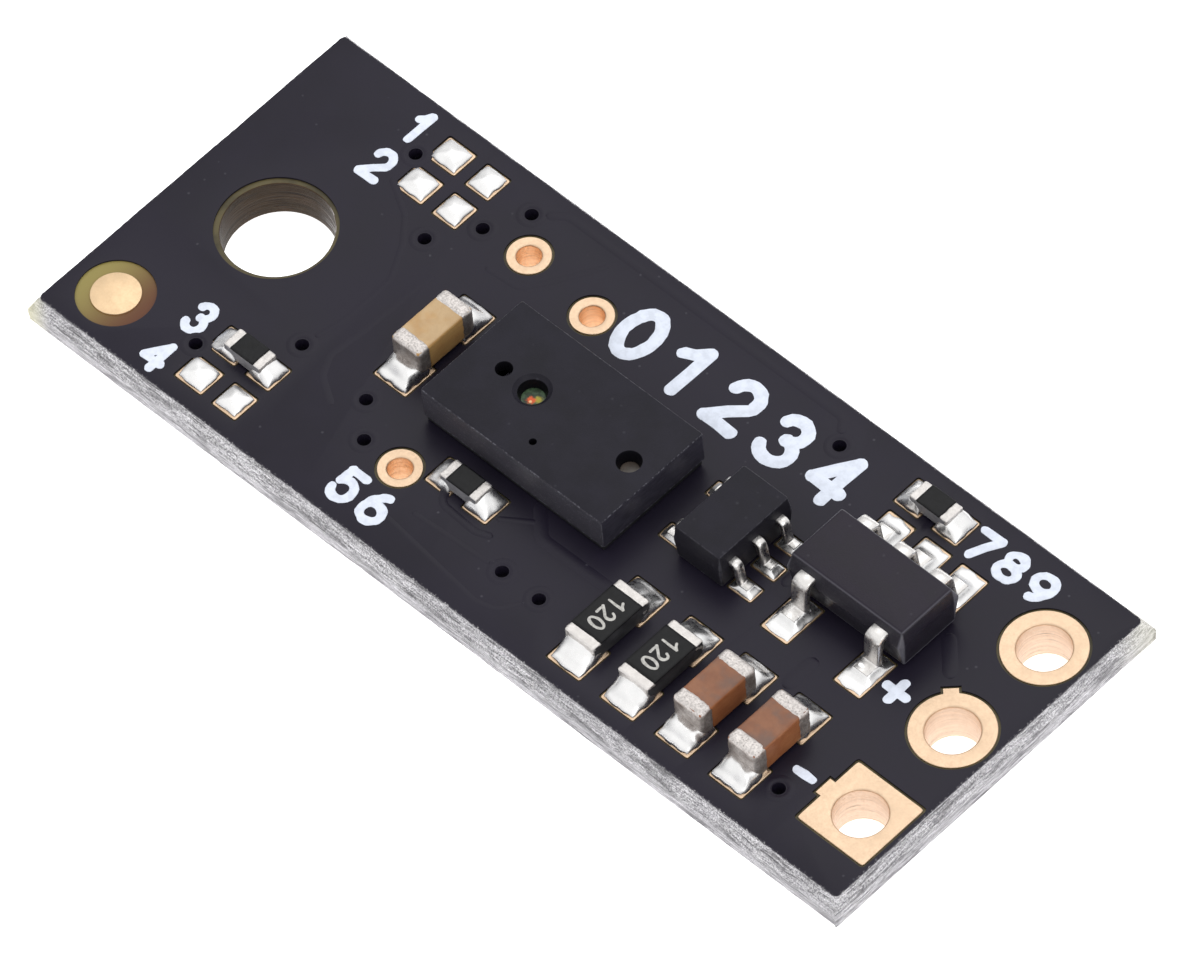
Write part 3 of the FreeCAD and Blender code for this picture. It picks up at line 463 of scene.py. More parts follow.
def resin_material():
    material, graph, shader = start_material("Bare laminate")
    if graph:
        resin = Vector(bpy.context.scene.sensor_board.resin)
        cloud = graph.grain(0.9, 4.0)
        # The bare ring round the alignment dot is painted lighter and yellower on its -X side and
        # darker and redder on its +X side, as painted light and shade.
        across = graph.ramp(graph.split(graph.place())[0], FIDUCIAL.x - FIDUCIAL_WINDOW,
                            FIDUCIAL.x + FIDUCIAL_WINDOW)
        ring = graph.blend(across, (0.27, 0.222, 0.064), (0.110, 0.036, 0.013))
        away = graph.vector("DISTANCE", graph.place(), (*FIDUCIAL.xy, LAMINATE_TOP))
        base = graph.blend(cloud["Mask"], resin * 0.55, resin * 1.25)
        paint(graph, shader, graph.blend(graph.ramp(away, 1.0, 0.9), base, ring), 0.38, 0.3)
        bump(graph, shader, (cloud["Height"], 0.01))
    return material


def drilled_material():
    material, graph, shader = start_material("Drilled wall")
    if graph:
        fibres = graph.fibres(0.35, 11.0)
        tint = graph.blend(fibres["Mask"], (0.009, 0.005, 0.0025), (0.078, 0.044, 0.022))
        tint = graph.over(tint, graph.grain(0.5, 5.0)["Mask"], 0.5, (0.045, 0.026, 0.010))
        side = graph.ramp(graph.split(graph.place())[0], MOUNT_X - 0.1, MOUNT_X + 0.8)
        glints = graph.ramp(graph.fibres(0.9, 24.0)["Height"], 0.51, 0.58)
        paint(graph, shader, graph.over(tint, glints, side, (0.72, 0.68, 0.68)), 0.4, 0.14)
        bump(graph, shader, (fibres["Height"], 0.05))
    return material


def fibre_material():
    material, graph, shader = start_material("Snapped glass fibre")
    if graph:
        fibre = Vector(bpy.context.scene.sensor_board.fibre)
        strands, threads = graph.fibres(0.75, 21.0), graph.fibres(2.0, 56.0)
        groove = graph.ramp(strands["Height"], 0.51, 0.44)
        scratch = graph.ramp(threads["Height"], 0.50, 0.44)
        tint = graph.over(fibre, groove, 0.8, fibre * 0.16)
        tint = graph.over(tint, scratch, 0.72, fibre * 0.2)
        shreds = graph.ramp(graph.fibres(2.6, 48.0)["Height"], 0.53, 0.46)
        tint = graph.blend(0.38, tint, graph.blend(shreds, FIBRE_WHITE, FIBRE_BLACK))
        parts = graph.split(graph.place())
        # Towards the top of the edge the grit speckle takes a larger share, which paints the upper
        # part darker and leaves the lower part lighter, as painted light from below.
        upper = graph.between(graph.ramp(parts[2], 0.5, 0.78), 0.14, 0.42)
        grit = graph.grain(0.034, 2.0, 0.45, 0.55)["Mask"]
        tint = graph.blend(upper, tint, graph.blend(grit, FIBRE_WHITE, FIBRE_BLACK))
        tint = graph.over(tint, graph.grain(1.3, 4.0, 0.42, 0.62)["Mask"], 0.22, (0.24, 0.23, 0.25))
        gap = graph.ramp(graph.fibres(0.9, 7.5)["Height"], 0.50, 0.42)
        tint = graph.over(tint, gap, graph.between(threads["Mask"], 0.85, 0.35), fibre * 0.10)
        # the corners at both ends of one diagonal are yellowed
        spread = graph.maths("ADD", parts[0], parts[1])
        first, last = BOARD_LOW.x + BOARD_LOW.y, BOARD_HIGH.x + BOARD_HIGH.y
        tint = graph.over(tint, graph.ramp(spread, first + 0.7, first + 0.06), 0.7,
                          (0.80, 0.77, 0.54))
        tint = graph.over(tint, graph.ramp(spread, last - 1.3, last - 0.1), 0.4,
                          (0.86, 0.84, 0.68))
        paint(graph, shader, tint, 0.6, 0.3)
        bump(graph, shader, (strands["Height"], 0.05), (threads["Height"], 0.02))
    return material


def ink_material():
    material, graph, shader = start_material("Print ink")
    if graph:
        ink = Vector(bpy.context.scene.sensor_board.ink)
        cloud = graph.grain(0.16, 4.0, 0.3, 0.62)
        paint(graph, shader, graph.blend(cloud["Mask"], ink * 0.86, ink), 0.55)
        bump(graph, shader, (cloud["Height"], 0.004))
    return material


def metal_material(name, tint, rough, grain_size, rise, spread=0.12):
    material, graph, shader = start_material(name)
    if graph:
        tint = Vector(tint)
        cloud, fine = graph.grain(grain_size * 6, 3.0), graph.grain(grain_size, 4.0)
        paint(graph, shader, graph.blend(cloud["Mask"], tint * 0.93, tint),
              graph.between(fine["Mask"], rough, rough + spread), metal=1.0)
        bump(graph, shader, (fine["Height"], rise))
    return material


def gold_material(name, tint):
    return metal_material(name, tint, 0.38, 0.035, 0.0022)


def solder_material():
    return metal_material("Solder", bpy.context.scene.sensor_metal.solder, 0.25, 0.09, 0.0012, 0.1)


def strip_material():
    return metal_material("Resistor tin", (0.73, 0.70, 0.675), 0.40, 0.03, 0.008, 0.2)


def lead_material():
    return metal_material("Lead tin", bpy.context.scene.sensor_metal.lead, 0.26, 0.07, 0.006)


def tin_material():
    material, graph, shader = start_material("End cap tin")
    if graph:
        tint = Vector(bpy.context.scene.sensor_metal.tin)
        cloud = graph.grain(0.3, 4.0, 0.34, 0.66)["Mask"]
        mottle = graph.grain(0.04, 5.0, 0.38, 0.6)
        base = graph.blend(mottle["Mask"], tint * 0.80, tint * 1.12)
        base = graph.over(base, cloud, 0.25, tint * 0.7)
        # The steep sides of each cap are painted darker and browner, patchy with the cloud, as
        # painted shade.
        base = graph.over(base, graph.ramp(graph.facing()[2], 0.7, 0.2),
                          graph.between(cloud, 0.35, 0.85), (0.20, 0.16, 0.14))
        base = graph.over(base, graph.specks(0.05, 0.30, 0.25), 0.55, (0.18, 0.145, 0.13))
        paint(graph, shader, base, graph.between(mottle["Mask"], 0.5, 0.36), metal=0.75)
        bump(graph, shader, (mottle["Height"], 0.010))
    return material


def wall_material(name, tint):
    """Plating inside a drilled hole, with the marks that the drill left."""
    material, graph, shader = start_material(name)
    if graph:
        tint = Vector(tint)
        rings = graph.fibres(0.6, 16.0)
        base = graph.blend(rings["Mask"], tint * 0.88, tint * 1.05)
        base = graph.over(base, graph.ramp(rings["Height"], 0.42, 0.36), 0.5, tint * 0.4)
        fine = graph.grain(0.05, 4.0)["Mask"]
        paint(graph, shader, base, graph.between(fine, 0.34, 0.5), metal=0.85)
        bump(graph, shader, (rings["Height"], 0.014))
    return material


def moulded_material(name, tint, box, rough, wear_and_highlight_width, wear_and_highlight_share, wear_and_highlight_paleness, gloss, side_grey_and_front_light):
    """Black moulding. Its edges are paled over this width, share and paleness, as chipped wear and
    as a painted highlight along the bevels; the last setting greys the sides with streaks, paints
    the faces towards -Y lighter as painted light and scatters pale specks on them.
    """
    material, graph, shader = start_material(name)
    if graph:
        tint = Vector(tint)
        cloud = graph.grain(0.7, 4.0, 0.3, 0.7)["Mask"]
        facing = graph.facing()
        steep, front = graph.ramp(facing[2], 0.6, 0.3), graph.ramp(facing[1], -0.4, -0.9)
        shift = graph.vector("SUBTRACT", graph.place(), middle(box))
        share = graph.split(graph.vector("ABSOLUTE", graph.vector(
            "DIVIDE", shift, (box[1] - box[0]) / 2)))
        inside = graph.ramp(graph.maths("MAXIMUM", share[0], share[1]), 0.92, 0.85)
        outside = graph.maths("SUBTRACT", 1.0, inside)
        streaks = graph.between(graph.fibres(3.0, 9.0)["Mask"], 0.35, 1.0)
        base = graph.blend(cloud, tint * 0.85, tint * 1.2)
        # Steep faces well inside the outline, the walls of the lid's bores, are painted darker as
        # painted shade.
        base = graph.over(base, steep, inside, tint * 0.25)
        base = graph.over(base, graph.maths("MULTIPLY", steep, outside), streaks,
                          Vector((0.032, 0.030, 0.042)) * (0.3 + 0.7 * side_grey_and_front_light))
        # Faces towards -Y are painted lighter as painted light from the low light on that side; the
        # pale specks are laid on those faces only, dust and painted light together.
        front = graph.maths("MULTIPLY", front, outside)
        base = graph.over(base, front, 0.5 * side_grey_and_front_light, (0.050, 0.048, 0.056))
        front_dust_and_light = graph.maths("MULTIPLY", graph.specks(0.035, 0.3, 0.4), front)
        base = graph.over(base, front_dust_and_light, 0.3 * side_grey_and_front_light, (0.3, 0.3, 0.33))
        # The edges are paled: chipped wear, and on the regulator, whose share is near whole, a
        # painted highlight along the bevels.
        base = graph.over(base, graph.edge_wear(box, wear_and_highlight_width, wear_and_highlight_share), wear_and_highlight_paleness, (0.26, 0.26, 0.30))
        base = graph.over(base, graph.specks(0.12, 0.03, 0.4), 0.05, DUST)
        paint(graph, shader, base, graph.between(cloud, rough, rough + 0.08), gloss)
        bump(graph, shader, (graph.grain(0.028, 3.0)["Height"], 0.004))
    return material


def glaze_material():
    material, graph, shader = start_material("Resistor glaze")
    if graph:
        tint = Vector(bpy.context.scene.sensor_parts.glaze)
        cloud = graph.grain(0.12, 4.0)
        paint(graph, shader, graph.blend(cloud["Mask"], tint * 0.8, tint * 1.4), 0.3, 0.2)
        bump(graph, shader, (cloud["Height"], 0.006))
    return material


def number_material():
    material, graph, shader = start_material("Resistor number")
    if graph:
        cloud = graph.grain(0.05, 4.0)["Mask"]
        paint(graph, shader, graph.blend(cloud, (0.36, 0.35, 0.33), (0.54, 0.53, 0.50)), 0.6)
    return material


def ceramic_material(name, tint, other, rough=0.4, layers=0.0, top=None):
    """Fired ceramic in two mixed colours, with faint layers and, if given, a colour painted on the
    faces that look up as painted light on the top.
    """
    material, graph, shader = start_material(name)
    if graph:
        cloud = graph.grain(0.3, 5.0, 0.3, 0.68)
        base = graph.blend(cloud["Mask"], tint, other)
        if top:
            # Faces that look up take the top colour, in patches, as painted light.
            top_light_share = graph.between(graph.grain(0.7, 3.0, 0.4, 0.6)["Mask"], 0.25, 1.0)
            base = graph.over(base, graph.ramp(graph.facing()[2], 0.5, 0.9), top_light_share, top)
        if layers:
            base = graph.over(base, graph.fibres(0.8, 30.0)["Mask"], layers, Vector(tint) * 0.55)
        paint(graph, shader, base, rough)
        bump(graph, shader, (cloud["Height"], 0.006), (graph.grain(0.04, 4.0)["Height"], 0.003))
    return material


# Glints on the filter, as (place along from the bore's axis, place across, size, colour)
GLINTS = ((0.09, 0.03, 0.11, (0.42, 0.36, 0.04)), (0.0, -0.06, 0.12, (0.75, 0.12, 0.03)),
          (0.01, -0.09, 0.04, (1.0, 0.62, 0.30)))
FILTER_LEVEL = 1.72


def filter_material(tint, centre):
    material, graph, shader = start_material("Receiver filter")
    if graph:
        where = graph.place()
        streaks = graph.noise(where, 18.0, 3.0)
        base = graph.blend(graph.grain(0.12, 3.0)["Mask"], Vector(tint) * 0.5, Vector(tint) * 1.3)
        for x, y, size, glint in GLINTS:
            away = graph.vector("DISTANCE", where, (centre + x, y, FILTER_LEVEL))
            away = graph.maths("MULTIPLY_ADD", streaks, size, away)
            base = graph.blend(graph.ramp(away, size * 1.5, size * 0.9), base, glint)
        paint(graph, shader, base, 0.3, 0.25)
    return material


# Mesh code

def finish_piece(name, bm, material, replaces=(), angle=40.0):
    """Turns a mesh in millimetres into a piece of the module."""
    bmesh.ops.transform(bm, matrix=Matrix.Scale(MM, 4), verts=bm.verts)
    bmesh.ops.recalc_face_normals(bm, faces=bm.faces)
    mesh = bpy.data.meshes.new(name)
    bm.to_mesh(mesh)
    bm.free()
    mesh.shade_smooth()
    mesh.set_sharp_from_angle(angle=math.radians(angle))
    mesh.materials.append(material)
    piece = bpy.data.objects.new(name, mesh)
    bpy.context.scene.collection.objects.link(piece)
    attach(piece, "root")
    if replaces:
        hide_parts(*replaces)
    return piece


def merge(bm, other):
    mesh = bpy.data.meshes.new("joined")
    other.to_mesh(mesh)
    other.free()
    bm.from_mesh(mesh)
    bpy.data.meshes.remove(mesh)


def skin(bm, rows, loop=True, caps=False):
    """Faces between rows of vertices that lie side by side; loop closes each row."""
    for row, following in zip(rows, rows[1:]):
        for index in range(len(row) if loop else len(row) - 1):
            after = (index + 1) % len(row)
            bm.faces.new((row[index], following[index], following[after], row[after]))
    if caps:
        bm.faces.new(rows[0])
        bm.faces.new(rows[-1])
    return bm


def quarter(steps, start=0):
    """Sine and cosine at even steps from 0 to 90 degrees."""
    for step in range(start, steps + 1):
        angle = math.radians(90 * step / steps)
        yield math.sin(angle), math.cos(angle)


def block(low, high, bm=None):
    bm = bm or bmesh.new()
    made = bmesh.ops.create_cube(bm, size=1.0)["verts"]
    size = high - low
    for vert in made:
        vert.co = Vector([low[axis] + (vert.co[axis] + 0.5) * size[axis] for axis in range(3)])
    return bm


def wobble(point, size, seed=0.0):
    """Smooth noise from -1 to 1 that changes over about this size."""
    return noise.noise(point / size + Vector((seed * 7.3, seed * 3.1, seed * 1.7)))


SKIN_GRAIN = 0.09  # size of the bumps in the surface of a chip part


def pillow(low, high, radius, cuts, rough, seed):
    """A block with rounded edges and an uneven skin."""
    bm = block(low, high)
    bmesh.ops.subdivide_edges(bm, edges=bm.edges, cuts=cuts, use_grid_fill=True)
    for vert in bm.verts:
        inner = Vector([min(max(vert.co[axis], low[axis] + radius), high[axis] - radius)
                        for axis in range(3)])
        away = vert.co - inner
        if away.length > 1e-9:
            away.normalize()
            vert.co = inner + away * radius
            vert.co -= away * rough * (0.5 + 0.5 * wobble(vert.co, SKIN_GRAIN, seed))
    return bm


def cylinders(bm, spots, low, high, radius, segments=72):
    """An upright cylinder at each spot."""
    for spot in spots:
        bmesh.ops.create_cone(bm, cap_ends=True, segments=segments, radius1=radius,
                              radius2=radius, depth=high - low,
                              matrix=Matrix.Translation((spot[0], spot[1], (low + high) / 2)))


def lathe(profile, x, y, segments, bm=None):
    """Turns a closed line of (radius, height) points about an upright axis at x, y."""
    bm = bm or bmesh.new()
    rings = []
    for step in range(segments):
        angle = math.tau * step / segments
        rings.append([bm.verts.new((x + radius * math.cos(angle), y + radius * math.sin(angle), z))
                      for radius, z in profile])
    return skin(bm, rings + rings[:1])


def subtract(bm, *tools):
    """Cuts each tool, one after another, out of the mesh."""
    for tool in tools:
        objects = []
        for part in (bm, tool):
            mesh = bpy.data.meshes.new("cutting")
            bmesh.ops.recalc_face_normals(part, faces=part.faces)
            part.to_mesh(mesh)
            part.free()
            objects.append(bpy.data.objects.new("cutting", mesh))
            bpy.context.scene.collection.objects.link(objects[-1])
        base, cutter = objects
        # the boolean works on millimetres, where its tolerance suits these sizes
        modifier = base.modifiers.new("cut", "BOOLEAN")
        modifier.operation = "DIFFERENCE"
        modifier.solver = "EXACT"
        modifier.object = cutter
        graph = bpy.context.evaluated_depsgraph_get()
        bm = bmesh.new()
        bm.from_object(base, graph)
        for thing in objects:
            mesh = thing.data
            bpy.data.objects.remove(thing)
            bpy.data.meshes.remove(mesh)
    return bm


def ribbon(bm, points, width, low, rise, seed=0.0, rag=0.0, taper=0.18):
    """A flat raised stroke with soft shoulders, and with round ends where it isn't closed."""
    path = [Vector(point).to_3d() for point in points]
    closed = (path[0] - path[-1]).length < 1e-6
    half = width / 2
    spots = []  # (place, share of the width, way)
    if closed:
        path.pop()
        for index, point in enumerate(path):
            run = path[(index + 1) % len(path)] - path[index - 1]
            spots.append((point, 1.0, run.normalized()))
    else:
        first = (path[0] - path[1]).normalized()
        last = (path[-1] - path[-2]).normalized()
        turns = [math.radians(15 * turn) for turn in range(1, 6)]
        for angle in reversed(turns):
            spots.append((path[0] + first * half * math.sin(angle), math.cos(angle), -first))
        for index, point in enumerate(path):
            run = path[min(index + 1, len(path) - 1)] - path[max(index - 1, 0)]
            spots.append((point, 1.0, run.normalized()))
        for angle in turns:
            spots.append((path[-1] + last * half * math.sin(angle), math.cos(angle), last))
    rows = []
    for point, spread, way in spots:
        side = Vector((-way.y, way.x, 0))
        row = []
        for across, height in ((-1, 0), (-1 + taper, 1), (1 - taper, 1), (1, 0)):
            where = point + side * across * half * spread
            if rag:
                where += side * across * rag * wobble(where, 0.11, seed)
            row.append(bm.verts.new((where.x, where.y, low + rise * height)))
        rows.append(row)
    return skin(bm, rows + rows[:1] if closed else rows, caps=not closed)


def rounded_path(points, radius, steps=6):
    """Bends each inner corner of a line of points into an arc."""
    path = [Vector(points[0])]
    for before, corner, after in zip(points, points[1:], points[2:]):
        corner, before, after = Vector(corner), Vector(before), Vector(after)
        back, ahead = (before - corner), (after - corner)
        trim = min(radius / math.tan(back.angle(ahead) / 2), back.length * 0.49,
                   ahead.length * 0.49)
        start = corner + back.normalized() * trim
        finish = corner + ahead.normalized() * trim
        for step in range(steps + 1):
            part = step / steps
            path.append(start.lerp(corner, part).lerp(corner.lerp(finish, part), part))
    path.append(Vector(points[-1]))
    return [(point.x, point.y) for point in path]


def bent_strip(bm, path, width, thickness, root, way):
    """A bent lead: path gives (out, height) points of its middle line from its root."""
    side = Vector((-way.y, way.x, 0))
    nip = 0.14 * thickness
    half, deep = width / 2, thickness / 2
    section = ((-half + nip, -deep), (half - nip, -deep), (half, -deep + nip), (half, deep - nip),
               (half - nip, deep), (-half + nip, deep), (-half, deep - nip), (-half, -deep + nip))
    rows = []
    for index, point in enumerate(path):
        before, after = path[max(index - 1, 0)], path[min(index + 1, len(path) - 1)]
        run = Vector((after[0] - before[0], after[1] - before[1])).normalized()
        row = []
        for across, up in section:
            out, level = point[0] - run.y * up, point[1] + run.x * up
            row.append(bm.verts.new(root + way * out + side * across + Vector((0, 0, level))))
        rows.append(row)
    return skin(bm, rows, caps=True)


def rounded_outline(half_x, half_y, corner, steps):
    """Points of a rounded rectangle about the origin, anticlockwise."""
    points = []
    for turn, (sx, sy) in enumerate(((1, 1), (-1, 1), (-1, -1), (1, -1))):
        for step in range(steps + 1):
            angle = math.radians(90 * turn + 90 * step / steps)
            points.append((sx * (half_x - corner) + corner * math.cos(angle),
                           sy * (half_y - corner) + corner * math.sin(angle)))
    return points


def loft(centre, rings, steps=6, bm=None):
    """Joins rounded rectangles, given as (height, half size, corner), and caps them."""
    bm = bm or bmesh.new()
    rows = [[bm.verts.new((centre.x + x, centre.y + y, height))
             for x, y in rounded_outline(half.x, half.y, corner, steps)]
            for height, half, corner in rings]
    return skin(bm, rows, caps=True)


def prism(bm, low, high, corner):
    """An upright block with rounded corners in plan."""
    half = (high - low) / 2
    loft((low + high) / 2, ((low.z, half, corner), (high.z, half, corner)), 4, bm)


def solder_pool(bm, land, foot, mound, reach, rim, seed, tent=0.28):
    """Solder on a land round a foot, both given as (low, high) corners in plan.

    The mound gives its climb at the foot, its height over the land and the bulge between them.
    """
    (x0, y0), (x1, y1) = land
    (fx0, fy0), (fx1, fy1) = foot
    climb, base, belly = mound
    centre = Vector(((x0 + x1) / 2, (y0 + y1) / 2))
    half = Vector(((x1 - x0) / 2 - rim, (y1 - y0) / 2 - rim))
    # rows crowd towards the rim, where the surface turns down
    shares = [math.sin((2 * step / POOL_STEPS - 1) * math.pi / 2) for step in range(POOL_STEPS + 1)]
    rows = []
    for a in shares:
        row = []
        for b in shares:
            # the outline is bowed and a little wavy
            edge = max(abs(a), abs(b))
            spot = Vector((centre.x + half.x * a, centre.y + half.y * b, 0.0))
            shift = 1 - 0.09 * edge * max(0.0, 0.3 + wobble(spot, 0.22, seed))
            x = centre.x + half.x * a * math.sqrt(1 - 0.1 * b * b) * shift
            y = centre.y + half.y * b * math.sqrt(1 - 0.1 * a * a) * shift
            # near is 1 at the foot and 0 out of its reach, full is 0 at the rim of the land
            dx = max(fx0 - x, 0.0, x - fx1)
            dy = max(fy0 - y, 0.0, y - fy1)
            near = max(0.0, 1 - math.hypot(dx, dy) / reach)
            full = max((1 - abs(a) ** 3) * (1 - abs(b) ** 3), 0.0)
            height = base * ((1 - tent) * full ** 0.32 + tent * (1 - edge))
            height += climb * near ** 3.0 * min(1.0, full ** 0.25)
            height += belly * full * near * (1 - near) * 4
            height *= 1 + 0.12 * wobble(spot, 0.26, seed + 5)
            row.append(bm.verts.new((x, y, COPPER_TOP + (0.0 if edge > 0.999 else height))))
        rows.append(row)
    skin(bm, rows, loop=False)


def corners(box, margin=0.0):
    """The low and high corner of a box in plan, drawn in by the margin."""
    return ((box[0].x + margin, box[0].y + margin), (box[1].x - margin, box[1].y - margin))


# Printed marks

def arc(x, y, across, up, start, finish, steps):
    """Points of an ellipse about x, y, from one angle to another in degrees."""
    points = []
    for step in range(steps + 1):
        angle = math.radians(start + (finish - start) * step / steps)
        points.append((x + across * math.cos(angle), y + up * math.sin(angle)))
    return points


# Strokes of each printed mark inside a box of one by one
GLYPHS = {
    "0": [arc(0.5, 0.5, 0.5, 0.5, 90, 450, 36)],
    "1": [[(0.0, 0.72), (0.3, 0.82), (0.62, 1.0)], [(0.62, 1.0), (0.62, 0.5), (0.62, 0.0)]],
    "2": [arc(0.5, 0.70, 0.46, 0.30, 165, -30, 14) + [(0.45, 0.30), (0.0, 0.0)],
          [(0.0, 0.0), (0.5, 0.0), (1.0, 0.0)]],
    "3": [arc(0.46, 0.76, 0.42, 0.24, 160, -85, 12), arc(0.46, 0.27, 0.5, 0.27, 85, -160, 14)],
    "4": [[(0.74, 0.0), (0.74, 0.5), (0.74, 1.0)],
          [(0.74, 1.0), (0.37, 0.64), (0.0, 0.28)], [(0.0, 0.28), (0.5, 0.28), (1.0, 0.28)]],
    "5": [[(0.92, 1.0), (0.5, 1.0), (0.12, 1.0)],
          [(0.12, 1.0), (0.10, 0.78), (0.08, 0.56)], arc(0.46, 0.33, 0.5, 0.33, 140, -160, 18)],
    "6": [arc(0.5, 0.3, 0.5, 0.3, 90, 450, 30), arc(1.0, 0.3, 1.0, 0.7, 180, 112, 12)],
    "7": [[(0.0, 1.0), (0.5, 1.0), (1.0, 1.0)], [(1.0, 1.0), (0.62, 0.5), (0.34, 0.0)]],
    "8": [arc(0.5, 0.76, 0.4, 0.24, 90, 450, 30), arc(0.5, 0.27, 0.5, 0.27, 90, 450, 30)],
    "9": [arc(0.5, 0.7, 0.5, 0.3, 90, 450, 30), arc(0.0, 0.7, 1.0, 0.7, 0, -68, 12)],
    "+": [[(0.0, 0.5), (0.5, 0.5), (1.0, 0.5)], [(0.5, 1.0), (0.5, 0.5), (0.5, 0.0)]],
    "-": [[(0.0, 0.5), (0.5, 0.5), (1.0, 0.5)]],
}

# Printed marks, as (mark, lowest corner, highest corner, share of the usual stroke)
MARKS = [
    ("1", (-8.16, 3.14), (-7.70, 4.03), 1.0),
    ("2", (-8.20, 1.97), (-7.60, 2.86), 1.0),
    ("3", (-8.17, -2.97), (-7.61, -2.09), 1.0),
    ("4", (-8.21, -4.12), (-7.60, -3.28), 1.0),
    ("5", (-3.28, -3.96), (-2.62, -3.05), 1.05),
    ("6", (-2.50, -3.96), (-1.84, -3.05), 1.05),
    ("7", (6.86, 3.08), (7.50, 3.90), 1.0),
    ("8", (7.60, 3.08), (8.24, 3.90), 1.0),
    ("9", (8.36, 3.08), (9.00, 3.90), 1.0),
    ("+", (7.92, -0.40), (8.60, 0.28), 1.1),
    ("-", (7.985, -2.69), (8.55, -2.50), 1.0),
]

# A row of plain numbers in the middle of the board
SCALE_DIGITS, SCALE_WEIGHT = "01234", 1.5
SCALE_START, SCALE_STEP, SCALE_WIDTH = -1.22, 1.29, 0.98
SCALE_BASE, SCALE_HEIGHT = 2.1, 1.4

# The number on the larger resistors
VALUE_DIGITS, VALUE_STROKE, VALUE_RISE, VALUE_RAG = "120", 0.065, 0.006, 0.012
VALUE_START, VALUE_STEP, VALUE_WIDTH, VALUE_HALF_HEIGHT = -0.40, 0.28, 0.24, 0.21


def print_mark(bm, mark, low, high, stroke, seed, rise, base, rag=0.026):
    """Prints one mark so that its ink fills the box from low to high."""
    low, size = Vector(low), Vector(high) - Vector(low)
    for number, line in enumerate(GLYPHS[mark]):
        points = [(low.x + stroke / 2 + x * (size.x - stroke),
                   low.y + stroke / 2 + y * (size.y - stroke)) for x, y in line]
        # each stroke is a little higher than the one before, so that no two share a plane
        ribbon(bm, points, stroke, base, rise * (1 + 0.03 * number), seed + number, rag)


def value_marks(centre, level):
    """Plain digits across the top of a resistor, read from its +X side."""
    marks = bmesh.new()
    for place, digit in enumerate(VALUE_DIGITS):
        left = VALUE_START + VALUE_STEP * place
        print_mark(marks, digit, (left, -VALUE_HALF_HEIGHT),
                   (left + VALUE_WIDTH, VALUE_HALF_HEIGHT), VALUE_STROKE, place, VALUE_RISE, 0.0,
                   VALUE_RAG)
    turn = (Matrix.Translation((centre.x, centre.y, level))
            @ Matrix.Rotation(math.radians(-90), 4, "Z"))
    bmesh.ops.transform(marks, matrix=turn, verts=marks.verts)
    return marks


# The board

def dress(node, material):
    """Gives a CAD node that stays as it is its finish."""
    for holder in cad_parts[node].material_slots:
        holder.material = material


def snapped_ring(fray):
    """The edge of the board: two V scores and the torn web between them."""
    bm = bmesh.new()
    half, inset = BOARD_HIGH.xy, BOARD_HIGH.xy - FILM_HIGH.xy
    # the four sides, as (first corner, last corner, way out)
    sides = (((1, -1), (1, 1), (1, 0)), ((1, 1), (-1, 1), (0, 1)),
             ((-1, 1), (-1, -1), (-1, 0)), ((-1, -1), (1, -1), (0, -1)))
    web_low, web_high = LAMINATE_LOW + SCORE_DEPTH, LAMINATE_TOP - SCORE_DEPTH
    profile = [(1.5, LAMINATE_LOW - 0.0005)]  # (share of the score's width, height)
    profile += [(1 - step / 8, LAMINATE_LOW + SCORE_DEPTH * step / 8) for step in range(9)]
    profile += [(0.0, web_low + (web_high - web_low) * step / 8) for step in range(1, 9)]
    profile += [(step / 8, web_high + SCORE_DEPTH * step / 8) for step in range(1, 9)]
    profile.append((1.5, LAMINATE_TOP + 0.0005))
    rows = []
    for start, finish, (nx, ny) in sides:
        run = 2 * (half.y if nx else half.x)
        count = int(run / EDGE_STEP)
        for step in range(count):
            u, v = (start[axis] + (finish[axis] - start[axis]) * (step / count)
                    for axis in range(2))
            row = []
            for spread, z in profile:
                x = u * (half.x - inset.x * spread)
                y = v * (half.y - inset.y * spread)
                strands = 0.5 + 0.5 * noise.noise(Vector((x / 0.5, y / 0.5, z / 0.11)))
                tears = 0.5 + 0.5 * noise.noise(Vector((x / 1.9, y / 1.9, z / 0.2 + 5)))
                torn = 1.0 if spread < 0.05 else 0.3 if spread <= 1 else 0.0
                depth = fray * torn * (0.5 * strands + 0.8 * tears)
                row.append(bm.verts.new((x - nx * depth, y - ny * depth, z)))
            rows.append(row)
    return skin(bm, rows + rows[:1])


